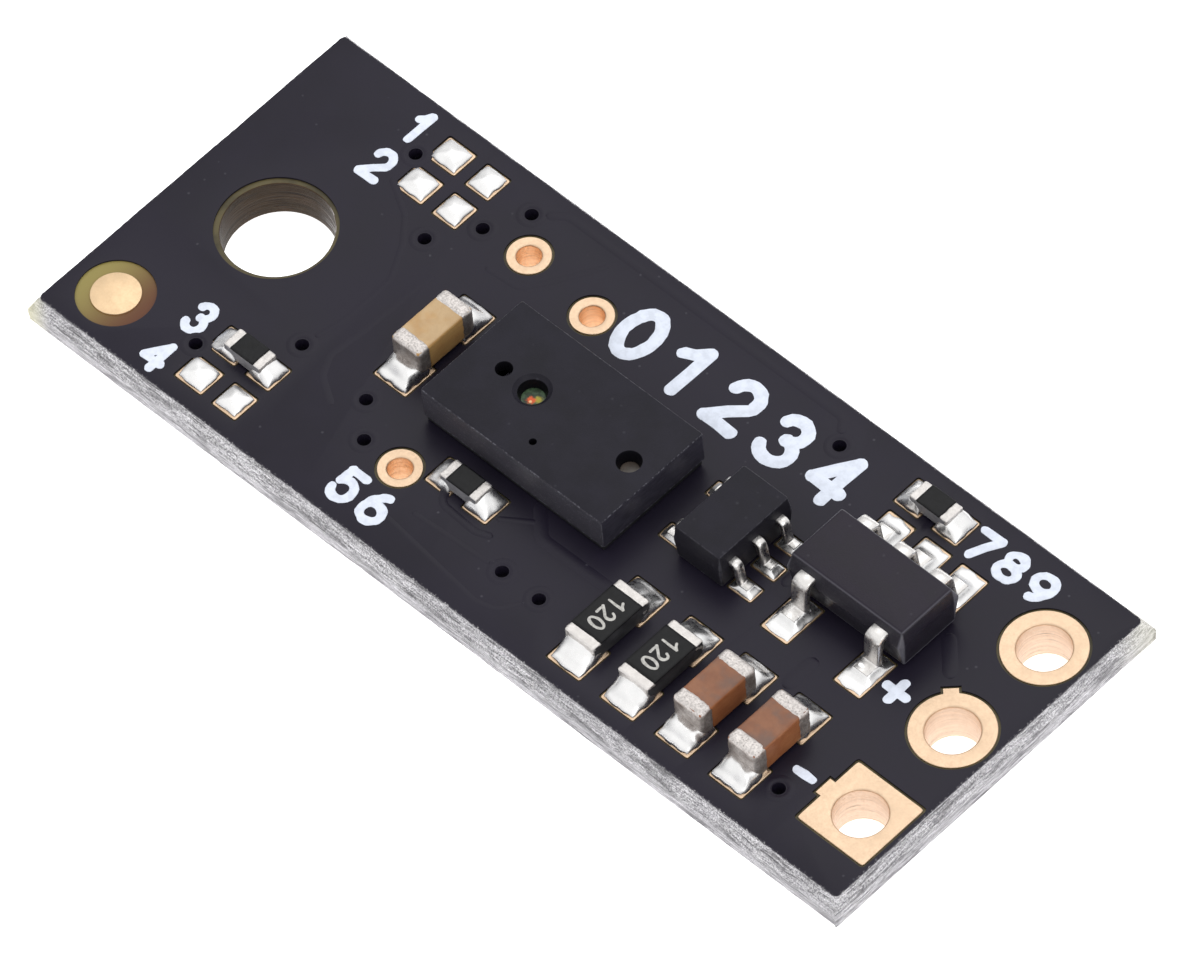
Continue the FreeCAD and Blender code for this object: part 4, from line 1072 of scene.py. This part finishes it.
class SENSOR_OT_board(bpy.types.Operator):
    """Makes the laminate, its snapped edges and the wall of the mounting hole"""
    bl_idname = "sensor_module.board"
    bl_label = "Board"

    def execute(self, context):
        half = FILM_HIGH.xy - Vector((BACK_INSET, BACK_INSET))
        core = block(Vector((-half.x, -half.y, LAMINATE_LOW)), Vector((*half, LAMINATE_TOP)))
        # the holes of the core are a little wider than the walls that line them
        holes = bmesh.new()
        cylinders(holes, [(MOUNT_X, 0)], *THROUGH, MOUNT_RADIUS + 0.02)
        cylinders(holes, HEADERS.values(), *THROUGH, HEADER_HOLE + 0.02)
        cylinders(holes, TESTS.values(), *THROUGH, TEST_HOLE + 0.015, 48)
        cylinders(holes, VIAS, *THROUGH, VIA_HOLE + 0.01, 32)
        finish_piece("laminate_core", subtract(core, holes), resin_material(),
                     ("laminate",))
        ring = snapped_ring(context.scene.sensor_board.fray / MM)
        finish_piece("snapped_edge", ring, fibre_material(), angle=80)
        levels, rough, lip = 16, 0.012, 0.06
        wall = [(MOUNT_RADIUS + lip, LAMINATE_TOP - 0.002), (MOUNT_RADIUS + rough, LAMINATE_TOP)]
        for index in range(levels + 1):
            z = LAMINATE_TOP - 0.012 - (LAMINATE_TOP - LAMINATE_LOW - 0.024) * index / levels
            grain = 0.5 + 0.5 * noise.noise(Vector((0, 3, z / 0.05)))
            wall.append((MOUNT_RADIUS + rough * grain, z))
        wall += [(MOUNT_RADIUS + rough, LAMINATE_LOW), (MOUNT_RADIUS + lip, LAMINATE_LOW + 0.002)]
        finish_piece("mounting_hole_wall", lathe(wall, MOUNT_X, 0, 128), drilled_material(),
                     angle=60)
        return {"FINISHED"}


def tab_block(tab, low, high, grow=0.0):
    """The stub of a trace that leaves a header land."""
    y, reach, width, turn = tab
    bm = block(Vector((HEADER_HOLE + 0.15, -width / 2 - grow, low)),
               Vector((reach + grow, width / 2 + grow, high)))
    place = Matrix.Translation((HEADER_X, y, 0)) @ Matrix.Rotation(math.radians(turn), 4, "Z")
    bmesh.ops.transform(bm, matrix=place, verts=bm.verts)
    return bm


def ragged_sheet(low, high, half, tear):
    """A film whose outline is torn inwards, with a soft upper rim."""
    bm = bmesh.new()
    corner = 0.12
    outline = []
    points = [Vector(point) for point in rounded_outline(half.x, half.y, corner, 3)]
    for start, finish in zip(points, points[1:] + points[:1]):
        outline.append(start)
        run = finish - start
        if run.length < 4 * corner:
            continue
        inwards = Vector((-run.y, run.x)).normalized()
        count = int(run.length / EDGE_STEP)
        for step in range(1, count):
            spot = start + run * step / count
            bite = 0.35 + 0.35 * wobble(spot.to_3d(), 0.13) + 0.5 * wobble(spot.to_3d(), 0.8, 3)
            outline.append(spot + inwards * tear * max(bite, 0.0))
    rows = []
    for z, pull in ((low, 0.0), (high - 0.014, 0.0), (high - 0.004, 0.004), (high, 0.014)):
        rows.append([bm.verts.new((spot.x * (1 - pull / half.x), spot.y * (1 - pull / half.y), z))
                     for spot in outline])
    return skin(bm, rows, caps=True)


def clear_of_vias(end, following):
    """Pulls the end of a trace back from the bore that it leads to."""
    end, following = Vector(end), Vector(following)
    for via in VIAS:
        if (via.xy - end).length < 0.3:
            return via.xy + (following - via.xy).normalized() * 0.4
    return end


class SENSOR_OT_films(bpy.types.Operator):
    """Makes both films of solder mask, their windows and the traces that stand out under them"""
    bl_idname = "sensor_module.films"
    bl_label = "Solder Mask"

    def execute(self, context):
        board = context.scene.sensor_board
        relief = board.relief / MM
        for face in ("front", "back"):
            low, high = node_box(f"solder_mask_{face}")
            pull = BACK_INSET if face == "back" else 0.0
            sheet = ragged_sheet(low.z, high.z, high.xy - Vector((pull, pull)), board.tear / MM)
            below, above = low.z - 0.1, high.z + 0.1
            squares, rounds, tabs = bmesh.new(), bmesh.new(), []
            half = HEADER_SQUARE / 2 + WINDOW_GAP
            prism(squares, Vector((HEADER_X - half, -HEADER_PITCH - half, below)),
                  Vector((HEADER_X + half, -HEADER_PITCH + half, above)), 0.08)
            cylinders(rounds, [(MOUNT_X - MOUNT_SHIFT, 0)], below, above,
                      MOUNT_FRONT_RING if face == "front" else MOUNT_BACK_RING, 128)
            cylinders(rounds, list(HEADERS.values())[1:], below, above, HEADER_RING + WINDOW_GAP,
                      128)
            cylinders(rounds, TESTS.values(), below, above, TEST_RING + WINDOW_GAP)
            cylinders(rounds, VIAS, below, above, VIA_HOLE, 40)
            if face == "front":
                cylinders(rounds, [FIDUCIAL], below, above, FIDUCIAL_WINDOW)
                gap = Vector((LAND_GAP, LAND_GAP, 0.1))
                for box in LANDS:
                    if not under_sensor(box):
                        prism(squares, box[0] - gap, box[1] + gap, 0.06)
                tabs = [tab_block(tab, below, above, WINDOW_GAP) for tab in TABS.values()]
            sheet = subtract(sheet, squares, rounds, *tabs)
            finish_piece(f"mask_film_{face}", sheet, film_material(),
                         (f"solder_mask_{face}",), angle=25)
        traces = bmesh.new()
        for number, (points, width, rise) in enumerate(BURIED):
            points = [clear_of_vias(points[0], points[1]), *points[1:-1],
                      clear_of_vias(points[-1], points[-2])]
            ribbon(traces, rounded_path(points, 0.35), width, MASK_TOP - SKIN,
                   relief * rise + SKIN, number, taper=0.5)
        for via in VIAS:
            lathe(((VIA_HOLE + 0.01, MASK_TOP - SKIN), (VIA_HOLE + 0.05, MASK_TOP + relief),
                   (VIA_HOLE + 0.12, MASK_TOP + relief), (VIA_HOLE + 0.2, MASK_TOP - SKIN)),
                  via.x, via.y, 40, traces)
        finish_piece("buried_traces", traces, film_material(), angle=60)
        return {"FINISHED"}


def plated_hole(x, y, hole, ring, square=None):
    """A ring on both faces and the barrel that joins them, as one turned piece."""
    soft, throat = 0.02, 0.04
    low, high = 0.005, COPPER_TOP
    half = square / 2 if square else ring
    upper = [(half, LAMINATE_TOP - SINK), (half, high - soft / 2), (half - soft / 2, high)]
    upper += [(half - share * soft, high) for share in (1, 2, 5)]
    upper += [(hole + throat * (1 - sine), high - throat * (1 - cosine))
              for sine, cosine in quarter(4)]
    wall = []
    for step in range(1, 14):
        z = high - throat - (high - low - 2 * throat) * step / 14
        wall.append((hole + 0.004 + 0.008 * noise.noise(Vector((x, y, z / 0.08))), z))
    lower = [(radius, high + low - z) for radius, z in reversed(upper)]
    inner = [(hole + PLATING, LAMINATE_LOW + SINK), (hole + PLATING, LAMINATE_TOP - SINK)]
    bm = lathe(upper + wall + lower + inner, x, y, 144)
    if square:
        for vert in bm.verts:
            away = vert.co.xy - Vector((x, y))
            if away.length > half - 6 * soft:
                way = away.normalized()
                stretch = (abs(way.x) ** 40 + abs(way.y) ** 40) ** (-1 / 40)
                vert.co.x, vert.co.y = x + away.x * stretch, y + away.y * stretch
    return bm


class SENSOR_OT_holes(bpy.types.Operator):
    """Makes the plated holes, their gold rings, the vias and the alignment dot"""
    bl_idname = "sensor_module.holes"
    bl_label = "Plated Holes"

    def execute(self, context):
        metal = context.scene.sensor_metal
        gold = gold_material("Pale gold", metal.gold)
        for node, (x, y) in (*reversed(HEADERS.items()), *TESTS.items()):
            if node in TESTS:
                hole, ring = TEST_HOLE, TEST_RING
                wall = wall_material("Small plated wall", metal.small_wall)
            else:
                hole, ring = HEADER_HOLE, HEADER_RING
                wall = wall_material("Plated wall", metal.wall)
            square = HEADER_SQUARE if node == "header_pad_minus" else None
            bm = plated_hole(x, y, hole, ring, square)
            if node in TABS:
                merge(bm, tab_block(TABS[node], LAMINATE_TOP - SINK, COPPER_TOP - 0.002))
            piece = finish_piece(f"{node}_ring", bm, gold, (node,))
            piece.data.materials.append(wall)
            for polygon in piece.data.polygons:
                spot = polygon.center / MM
                away = (spot.xy - Vector((x, y))).length
                if away < hole + 0.02 and LAMINATE_LOW < spot.z < LAMINATE_TOP:
                    polygon.material_index = 1
        self.make_barrels()
        top = COPPER_TOP
        dot = lathe(((0.0005, LAMINATE_TOP - SINK), (0.0005, top), (FIDUCIAL_RADIUS - 0.02, top),
                     (FIDUCIAL_RADIUS - 0.006, top - 0.005), (FIDUCIAL_RADIUS, top - 0.018),
                     (FIDUCIAL_RADIUS, LAMINATE_TOP - SINK)), FIDUCIAL.x, FIDUCIAL.y, 96)
        finish_piece("alignment_dot", dot, gold_material("Dot gold", metal.dot),
                     ("fiducial_dot",))
        self.make_lands(gold)
        return {"FINISHED"}

    def make_barrels(self):
        barrels = bmesh.new()
        for via in VIAS:
            lathe(((VIA_HOLE + 0.03, LAMINATE_TOP - SKIN), (VIA_HOLE + 0.01, LAMINATE_TOP - SKIN),
                   (VIA_HOLE, LAMINATE_TOP - 0.02), (VIA_HOLE, LAMINATE_LOW + 0.02),
                   (VIA_HOLE + 0.01, LAMINATE_LOW + SKIN), (VIA_HOLE + 0.03, LAMINATE_LOW + SKIN)),
                  via.x, via.y, 40, barrels)
        finish_piece("via_walls", barrels, film_material(), ("via_barrels",))

    def make_lands(self, gold):
        lands = bmesh.new()
        for low, high in LANDS:
            half = (high - low) / 2
            if under_sensor((low, high)):
                half.y -= 0.08
            rings = [(low.z, half, 0.045)]
            for drop, pull, corner in ((0.012, 0.0, 0.045), (0.003, 0.004, 0.042),
                                       (0.0, 0.014, 0.035)):
                rings.append((high.z - drop, half - Vector((pull, pull, 0)), corner))
            loft(middle((low, high)), rings, 5, lands)
        finish_piece("gold_lands", lands, gold, ("copper_lands",), angle=50)


class SENSOR_OT_print(bpy.types.Operator):
    """Prints the plain numbers and the signs on the front face"""
    bl_idname = "sensor_module.print"
    bl_label = "Printed Marks"

    def execute(self, context):
        board = context.scene.sensor_board
        stroke, rise = board.stroke / MM, board.ink_thickness / MM
        ink = bmesh.new()
        marks = [(seed * 3, *mark) for seed, mark in enumerate(MARKS)]
        for place, digit in enumerate(SCALE_DIGITS):
            left = SCALE_START + place * SCALE_STEP - SCALE_WIDTH / 2
            marks.append((50 + place, digit, (left, SCALE_BASE),
                          (left + SCALE_WIDTH, SCALE_BASE + SCALE_HEIGHT), SCALE_WEIGHT))
        for seed, mark, low, high, weight in marks:
            print_mark(ink, mark, low, high, stroke * weight, seed, rise, MASK_TOP - 0.003)
        finish_piece("printed_marks", ink, ink_material(), angle=30)
        return {"FINISHED"}


# The parts

class SENSOR_OT_jumpers(bpy.types.Operator):
    """Makes the solder domes of the open jumpers"""
    bl_idname = "sensor_module.jumpers"
    bl_label = "Solder Jumpers"

    def execute(self, context):
        rim = context.scene.sensor_metal.rim / MM + JUMPER_RIM
        domes = bmesh.new()
        for seed, box in enumerate(node_islands("jumper_solder")):
            spot = middle(box)
            solder_pool(domes, corners(land_near(spot)), corners((spot, spot), -0.06),
                        JUMPER_MOUND, 0.5, rim, seed * 2.3, 0.24)
        finish_piece("jumper_domes", domes, solder_material(), ("jumper_solder",),
                     angle=80)
        return {"FINISHED"}


def chip_part(name, body_material, cap_material, corner, cap_corner, cap_rough, mound, seed, rim):
    """The body, the end caps and the solder of a resistor or a capacitor."""
    body = pillow(*node_box(f"{name}_body"), corner, 14, 0.012, seed)
    finish_piece(f"{name}_ceramic", body, body_material, (f"{name}_body",), angle=50)
    caps, fillets = bmesh.new(), bmesh.new()
    for number, cap in enumerate(node_islands(f"{name}_terminals")):
        merge(caps, pillow(*cap, cap_corner, 16, cap_rough, seed + 4 + number))
        solder_pool(fillets, corners(land_near(middle(cap))), corners(cap, 0.03), mound, 0.36, rim,
                    seed + number * 3.1, 0.08)
    finish_piece(f"{name}_end_caps", caps, cap_material, (f"{name}_terminals",),
                 angle=60)
    finish_piece(f"{name}_fillets", fillets, solder_material(), (f"{name}_solder",),
                 angle=80)


class SENSOR_OT_resistors(bpy.types.Operator):
    """Makes the chip resistors and their solder"""
    bl_idname = "sensor_module.resistors"
    bl_label = "Resistors"

    def execute(self, context):
        rim = context.scene.sensor_metal.rim / MM
        alumina = Vector(context.scene.sensor_parts.alumina)
        pale = ceramic_material("Resistor alumina", alumina, alumina * 1.6, 0.35)
        dark = ceramic_material("Coated alumina", alumina * 0.12, alumina * 0.3, 0.3)
        for seed, (name, mound) in enumerate(RESISTORS):
            large = mound == LARGE_MOUND
            chip_part(name, dark if large else pale, strip_material(), 0.02, 0.05, 0.02, mound,
                      seed * 5.0, rim)
            low, high = node_box(f"{name}_coat")
            spill = Vector((0, 0, 0))
            spill[0 if high.x - low.x > high.y - low.y else 1] = 0.07 if large else 0.03
            coat = pillow(low - spill - Vector((0, 0, 0.02)), high + spill + Vector((0, 0, 0.006)),
                          0.02, 14, 0.006, seed)
            finish_piece(f"{name}_glaze", coat, glaze_material(), (f"{name}_coat",),
                         angle=60)
            if large:
                finish_piece(f"{name}_number", value_marks(middle((low, high)), high.z),
                             number_material(), angle=30)
        return {"FINISHED"}


class SENSOR_OT_capacitors(bpy.types.Operator):
    """Makes the chip capacitors and their solder"""
    bl_idname = "sensor_module.capacitors"
    bl_label = "Capacitors"

    def execute(self, context):
        parts, rim = context.scene.sensor_parts, context.scene.sensor_metal.rim / MM
        # The third colour of each kind is painted on the top faces as painted light.
        tints = {"brown": (parts.brown, (0.30, 0.115, 0.045), (0.155, 0.085, 0.060)),
                 "tan": (parts.tan, (0.50, 0.30, 0.11), (0.52, 0.36, 0.19))}
        for seed, (name, kind) in enumerate(CAPACITORS):
            first, second, top = tints[kind]
            ceramic = ceramic_material(f"Ceramic {kind}", first, second, 0.42, 0.25, top)
            chip_part(name, ceramic, tin_material(), 0.06, 0.12, 0.022, CAPACITOR_MOUND,
                      30 + seed * 5.0, rim)
        return {"FINISHED"}


class SENSOR_OT_packages(bpy.types.Operator):
    """Makes the two moulded packages, their leads and their solder"""
    bl_idname = "sensor_module.packages"
    bl_label = "Moulded Packages"

    def execute(self, context):
        parts, rim = context.scene.sensor_parts, context.scene.sensor_metal.rim / MM
        for package in PACKAGES:
            name = package.name
            low, high = node_box(f"{name}_body")
            black = moulded_material(f"{name.title()} moulding", getattr(parts, name),
                                     (low + package.draft, high - package.draft), *package.finish)
            finish_piece(f"{name}_moulding", self.make_body(package, low, high), black,
                         (f"{name}_body",), angle=35)
            leads, solder = bmesh.new(), bmesh.new()
            for seed, box in enumerate(node_islands(f"{name}_leads")):
                foot = self.make_lead(leads, package, box, middle((low, high)))
                solder_pool(solder, corners(land_near(middle(foot))), corners(foot),
                            (package.climb, 0.07, 0.0), 0.22, rim, seed * 4.1)
            finish_piece(f"{name}_bent_leads", leads, lead_material(),
                         (f"{name}_leads",), angle=50)
            finish_piece(f"{name}_pools", solder, solder_material(),
                         (f"{name}_solder",), angle=80)
        return {"FINISHED"}

    def make_body(self, package, low, high):
        half, line = (high - low) / 2, MASK_TOP + package.parting
        narrow = half - package.draft
        rings = [(low.z, narrow, 0.04), (line - 0.01, half, 0.04), (line + 0.01, half, 0.04)]
        for sine, cosine in quarter(4):
            pull = package.soft * (1 - cosine)
            rings.append((high.z - package.soft * (1 - sine), narrow - Vector((pull, pull, 0)),
                          0.05))
        return loft(middle((low, high)), rings)

    def make_lead(self, bm, package, box, centre):
        """One lead inside its box; returns the box of its foot in plan."""
        out, across = package.way, 1 - package.way
        size, spot = box[1] - box[0], middle(box)
        way = Vector((0, 0, 0))
        way[out] = math.copysign(1, spot[out] - centre[out])
        length, width, thickness = size[out], size[across], package.thickness
        top, bottom = box[1].z - thickness / 2, box[0].z + thickness / 2
        knee = length - package.foot - thickness * 0.35
        path = rounded_path(((0, top), (knee - 0.02, top), (knee + 0.06, bottom),
                             (length, bottom)), package.bend, 8)
        root = Vector((spot.x, spot.y, 0)) - way * length / 2
        bent_strip(bm, path, width, thickness, root, way)
        toe = spot + way * (length - package.foot) / 2
        reach = Vector((width / 2, width / 2, 0))
        reach[out] = package.foot / 2
        return toe - reach, toe + reach


LID_ROOF = 0.26  # thickness of the lid over its chambers


def bore(bm, x, y, top, segments, radius, steps):
    """A hole through the lid; steps are (radius, height over its top) from below upwards."""
    axis, floor, over = 0.0003, top - LID_ROOF - 0.1, top + 0.1
    profile = [(axis, floor), (radius, floor)]
    profile += [(step, top + height) for step, height in steps]
    lathe(profile + [(steps[-1][0], over), (axis, over)], x, y, segments, bm)


class SENSOR_OT_sensor(bpy.types.Operator):
    """Makes the sensor's lid with its apertures and dresses what lies under them"""
    bl_idname = "sensor_module.sensor"
    bl_label = "Distance Sensor"

    def execute(self, context):
        low, high = node_box("sensor_cap")
        centre, half, top = middle((low, high)), (high - low) / 2, high.z
        rings = [(low.z, half, 0.05), (top - 0.035, half, 0.05)]
        for sine, cosine in quarter(3, 1):
            pull = 0.03 * (1 - cosine)
            rings.append((top - 0.035 * (1 - sine), half - Vector((pull, pull, 0)), 0.05))
        chambers, bores = bmesh.new(), bmesh.new()
        inner, floor, roof = half.y - 0.28, low.z - 0.1, top - LID_ROOF
        for left, right in ((low.x + 0.28, centre.x + 0.8), (centre.x + 1.1, high.x - 0.28)):
            block(Vector((left, -inner, floor)), Vector((right, inner, roof)), chambers)
        receiver = low.x + 1.64
        bore(bores, receiver, 0, top, 96, 0.24,
             ((0.24, -LID_ROOF), (0.3, -0.07), (0.385, -0.008), (0.4, 0.01)))
        bore(bores, low.x + 0.88, 0, top, 64, 0.15, ((0.17, -0.02), (0.185, 0.01)))
        bore(bores, high.x - 0.61, 0, top, 96, 0.19,
             ((0.19, -LID_ROOF), (0.24, -0.05), (0.265, 0.01)))
        bore(bores, centre.x + 0.09, -0.88, top, 40, 0.07, ((0.075, -0.01), (0.085, 0.01)))
        black = moulded_material("Lid moulding", context.scene.sensor_parts.lid, (low, high),
                                 *LID_FINISH)
        finish_piece("sensor_lid", subtract(loft(centre, rings), chambers, bores), black,
                     ("sensor_cap",), angle=35)
        self.dress_inside(context.scene.sensor_parts, receiver)
        return {"FINISHED"}

    def dress_inside(self, parts, receiver):
        dress("sensor_filter", filter_material(parts.filter_tint, receiver))
        resin = Vector(parts.resin)
        dress("sensor_emitter", ceramic_material("Emitter resin", resin * 0.6, resin * 0.35, 0.3))
        dress("sensor_receiver",
              ceramic_material("Silicon", (0.10, 0.10, 0.13), (0.16, 0.15, 0.2), 0.15))
        # The substrate is darker than its own colour, as painted shade under the lid, and the
        # solder under the lid takes the same dark material as painted shade.
        base = ceramic_material("Sensor substrate in painted shade", (0.007, 0.007, 0.009), (0.012, 0.012, 0.014),
                                0.5)
        dress("sensor_substrate", base)
        dress("sensor_solder", base)


# The stage

def floor_material(stage):
    material, graph, shader = start_material("Paper floor")
    if graph:
        tint = Vector(stage.floor)
        paint(graph, shader, graph.blend(graph.grain(40.0, 2.0)["Mask"], tint * 0.985, tint), 0.9)
        shader["Emission Color"].default_value = (1.0, 1.0, 1.0, 1.0)
        shader["Emission Strength"].default_value = stage.glow
    return material


def place_in_scene(name, data):
    holder = bpy.data.objects.new(name, data)
    bpy.context.scene.collection.objects.link(holder)
    return holder


def area_lamp(name, place, size, power):
    """A soft lamp that shines on the origin. Its place and size are in metres."""
    lamp = bpy.data.lights.new(name, "AREA")
    lamp.shape = "RECTANGLE"
    lamp.size, lamp.size_y = size
    lamp.energy = power
    holder = place_in_scene(name, lamp)
    holder.location = place
    holder.rotation_euler = (-Vector(place)).to_track_quat("-Z", "Y").to_euler()


# The camera of the photograph, fitted to the board's corners and holes
CAMERA_PLACE = Vector((129.812, -112.835, 235.698))
CAMERA_RIGHT = Vector((0.71911561, 0.69195321, -0.06382394))
CAMERA_DOWN = Vector((0.53401281, -0.60906383, -0.58640563))
CAMERA_LOOK = Vector((-0.44463811, 0.38761064, -0.80749919))
FLOOR_DROP, FLOOR_HALF = 0.02, 1.5  # the drop in millimetres, the half width in metres
WHITE = (1.0, 1.0, 1.0)


class SENSOR_OT_stage(bpy.types.Operator):
    """Makes the floor, the light and the camera"""
    bl_idname = "sensor_module.stage"
    bl_label = "Stage"

    def execute(self, context):
        stage = context.scene.sensor_stage
        self.make_floor(stage)
        self.make_sky(stage)
        area_lamp("key_lamp", (-0.10, 0.16, 0.30), (0.20, 0.20), stage.key_power)
        area_lamp("side_lamp", (0.24, -0.02, 0.20), (0.12, 0.25), stage.side_power)
        self.make_camera(stage)
        context.scene.view_settings.view_transform = "Standard"
        return {"FINISHED"}

    def make_floor(self, stage):
        bm = bmesh.new()
        bmesh.ops.create_grid(bm, x_segments=1, y_segments=1, size=FLOOR_HALF)
        mesh = bpy.data.meshes.new("floor")
        bm.to_mesh(mesh)
        bm.free()
        mesh.materials.append(floor_material(stage))
        floor = place_in_scene("floor", mesh)
        floor.location.z = -FLOOR_DROP * MM

    def make_sky(self, stage):
        """A tent of light: bright overhead, darker low down, and plain white to the camera."""
        world = bpy.data.worlds.new("Soft studio")
        world.use_nodes = True
        bpy.context.scene.world = world
        tent = Graph(world.node_tree)
        sky = world.node_tree.nodes["Background"].inputs
        way = tent.add("TexCoord").outputs["Generated"]
        parts = tent.split(way)
        rise = tent.maths("MULTIPLY_ADD", tent.noise(way, 1.6, 1.0), 0.3, parts[2])
        across = tent.ramp(tent.maths("ABSOLUTE", parts[1]), 0.3, 0.95)
        horizon = Vector(stage.horizon)
        low_light = tent.blend(across, horizon * 0.8, horizon * 2.0)
        light = tent.blend(tent.ramp(rise, 0.10, 0.85), low_light, WHITE)
        seen = tent.add("LightPath").outputs["Is Camera Ray"]
        tent.feed(sky["Color"], tent.blend(seen, light, WHITE))
        sky["Strength"].default_value = stage.sky

    def make_camera(self, stage):
        camera = bpy.data.cameras.new("photograph_view")
        camera.sensor_width = 36.0
        camera.lens = stage.focal_length
        camera.clip_start, camera.clip_end = 0.005, 10.0
        holder = place_in_scene("photograph_view", camera)
        turn = Matrix((CAMERA_RIGHT, -CAMERA_DOWN, -CAMERA_LOOK)).transposed().to_4x4()
        holder.matrix_world = Matrix.Translation(CAMERA_PLACE * MM) @ turn
        bpy.context.scene.camera = holder


PIECES = (SENSOR_OT_board, SENSOR_OT_films, SENSOR_OT_holes, SENSOR_OT_print, SENSOR_OT_jumpers,
          SENSOR_OT_resistors, SENSOR_OT_capacitors, SENSOR_OT_packages, SENSOR_OT_sensor,
          SENSOR_OT_stage)


class SENSOR_PT_panel(bpy.types.Panel):
    """Lists the pieces of the module"""
    bl_idname = "SENSOR_PT_panel"
    bl_label = "Sensor Module"
    bl_space_type = "VIEW_3D"
    bl_region_type = "UI"
    bl_category = "Sensor Module"

    def draw(self, context):
        column = self.layout.column(align=True)
        for piece in PIECES:
            column.operator(piece.bl_idname)


SETTINGS = {"sensor_board": BoardSettings, "sensor_metal": MetalSettings,
            "sensor_parts": PartSettings, "sensor_stage": StageSettings}


def register():
    for group in SETTINGS.values():
        bpy.utils.register_class(group)
    for name, group in SETTINGS.items():
        setattr(bpy.types.Scene, name, bpy.props.PointerProperty(type=group))
    for piece in PIECES:
        bpy.utils.register_class(piece)
    bpy.utils.register_class(SENSOR_PT_panel)


def unregister():
    bpy.utils.unregister_class(SENSOR_PT_panel)
    for piece in reversed(PIECES):
        bpy.utils.unregister_class(piece)
    for name, group in SETTINGS.items():
        delattr(bpy.types.Scene, name)
        bpy.utils.unregister_class(group)


def main():
    register()
    build_grain_group()
    build_speck_group()
    build_edge_wear_and_highlight_group()
    build_fibre_group()
    for piece in PIECES:
        family, name = piece.bl_idname.split(".")
        getattr(getattr(bpy.ops, family), name)()


if __name__ == "__main__":
    main()
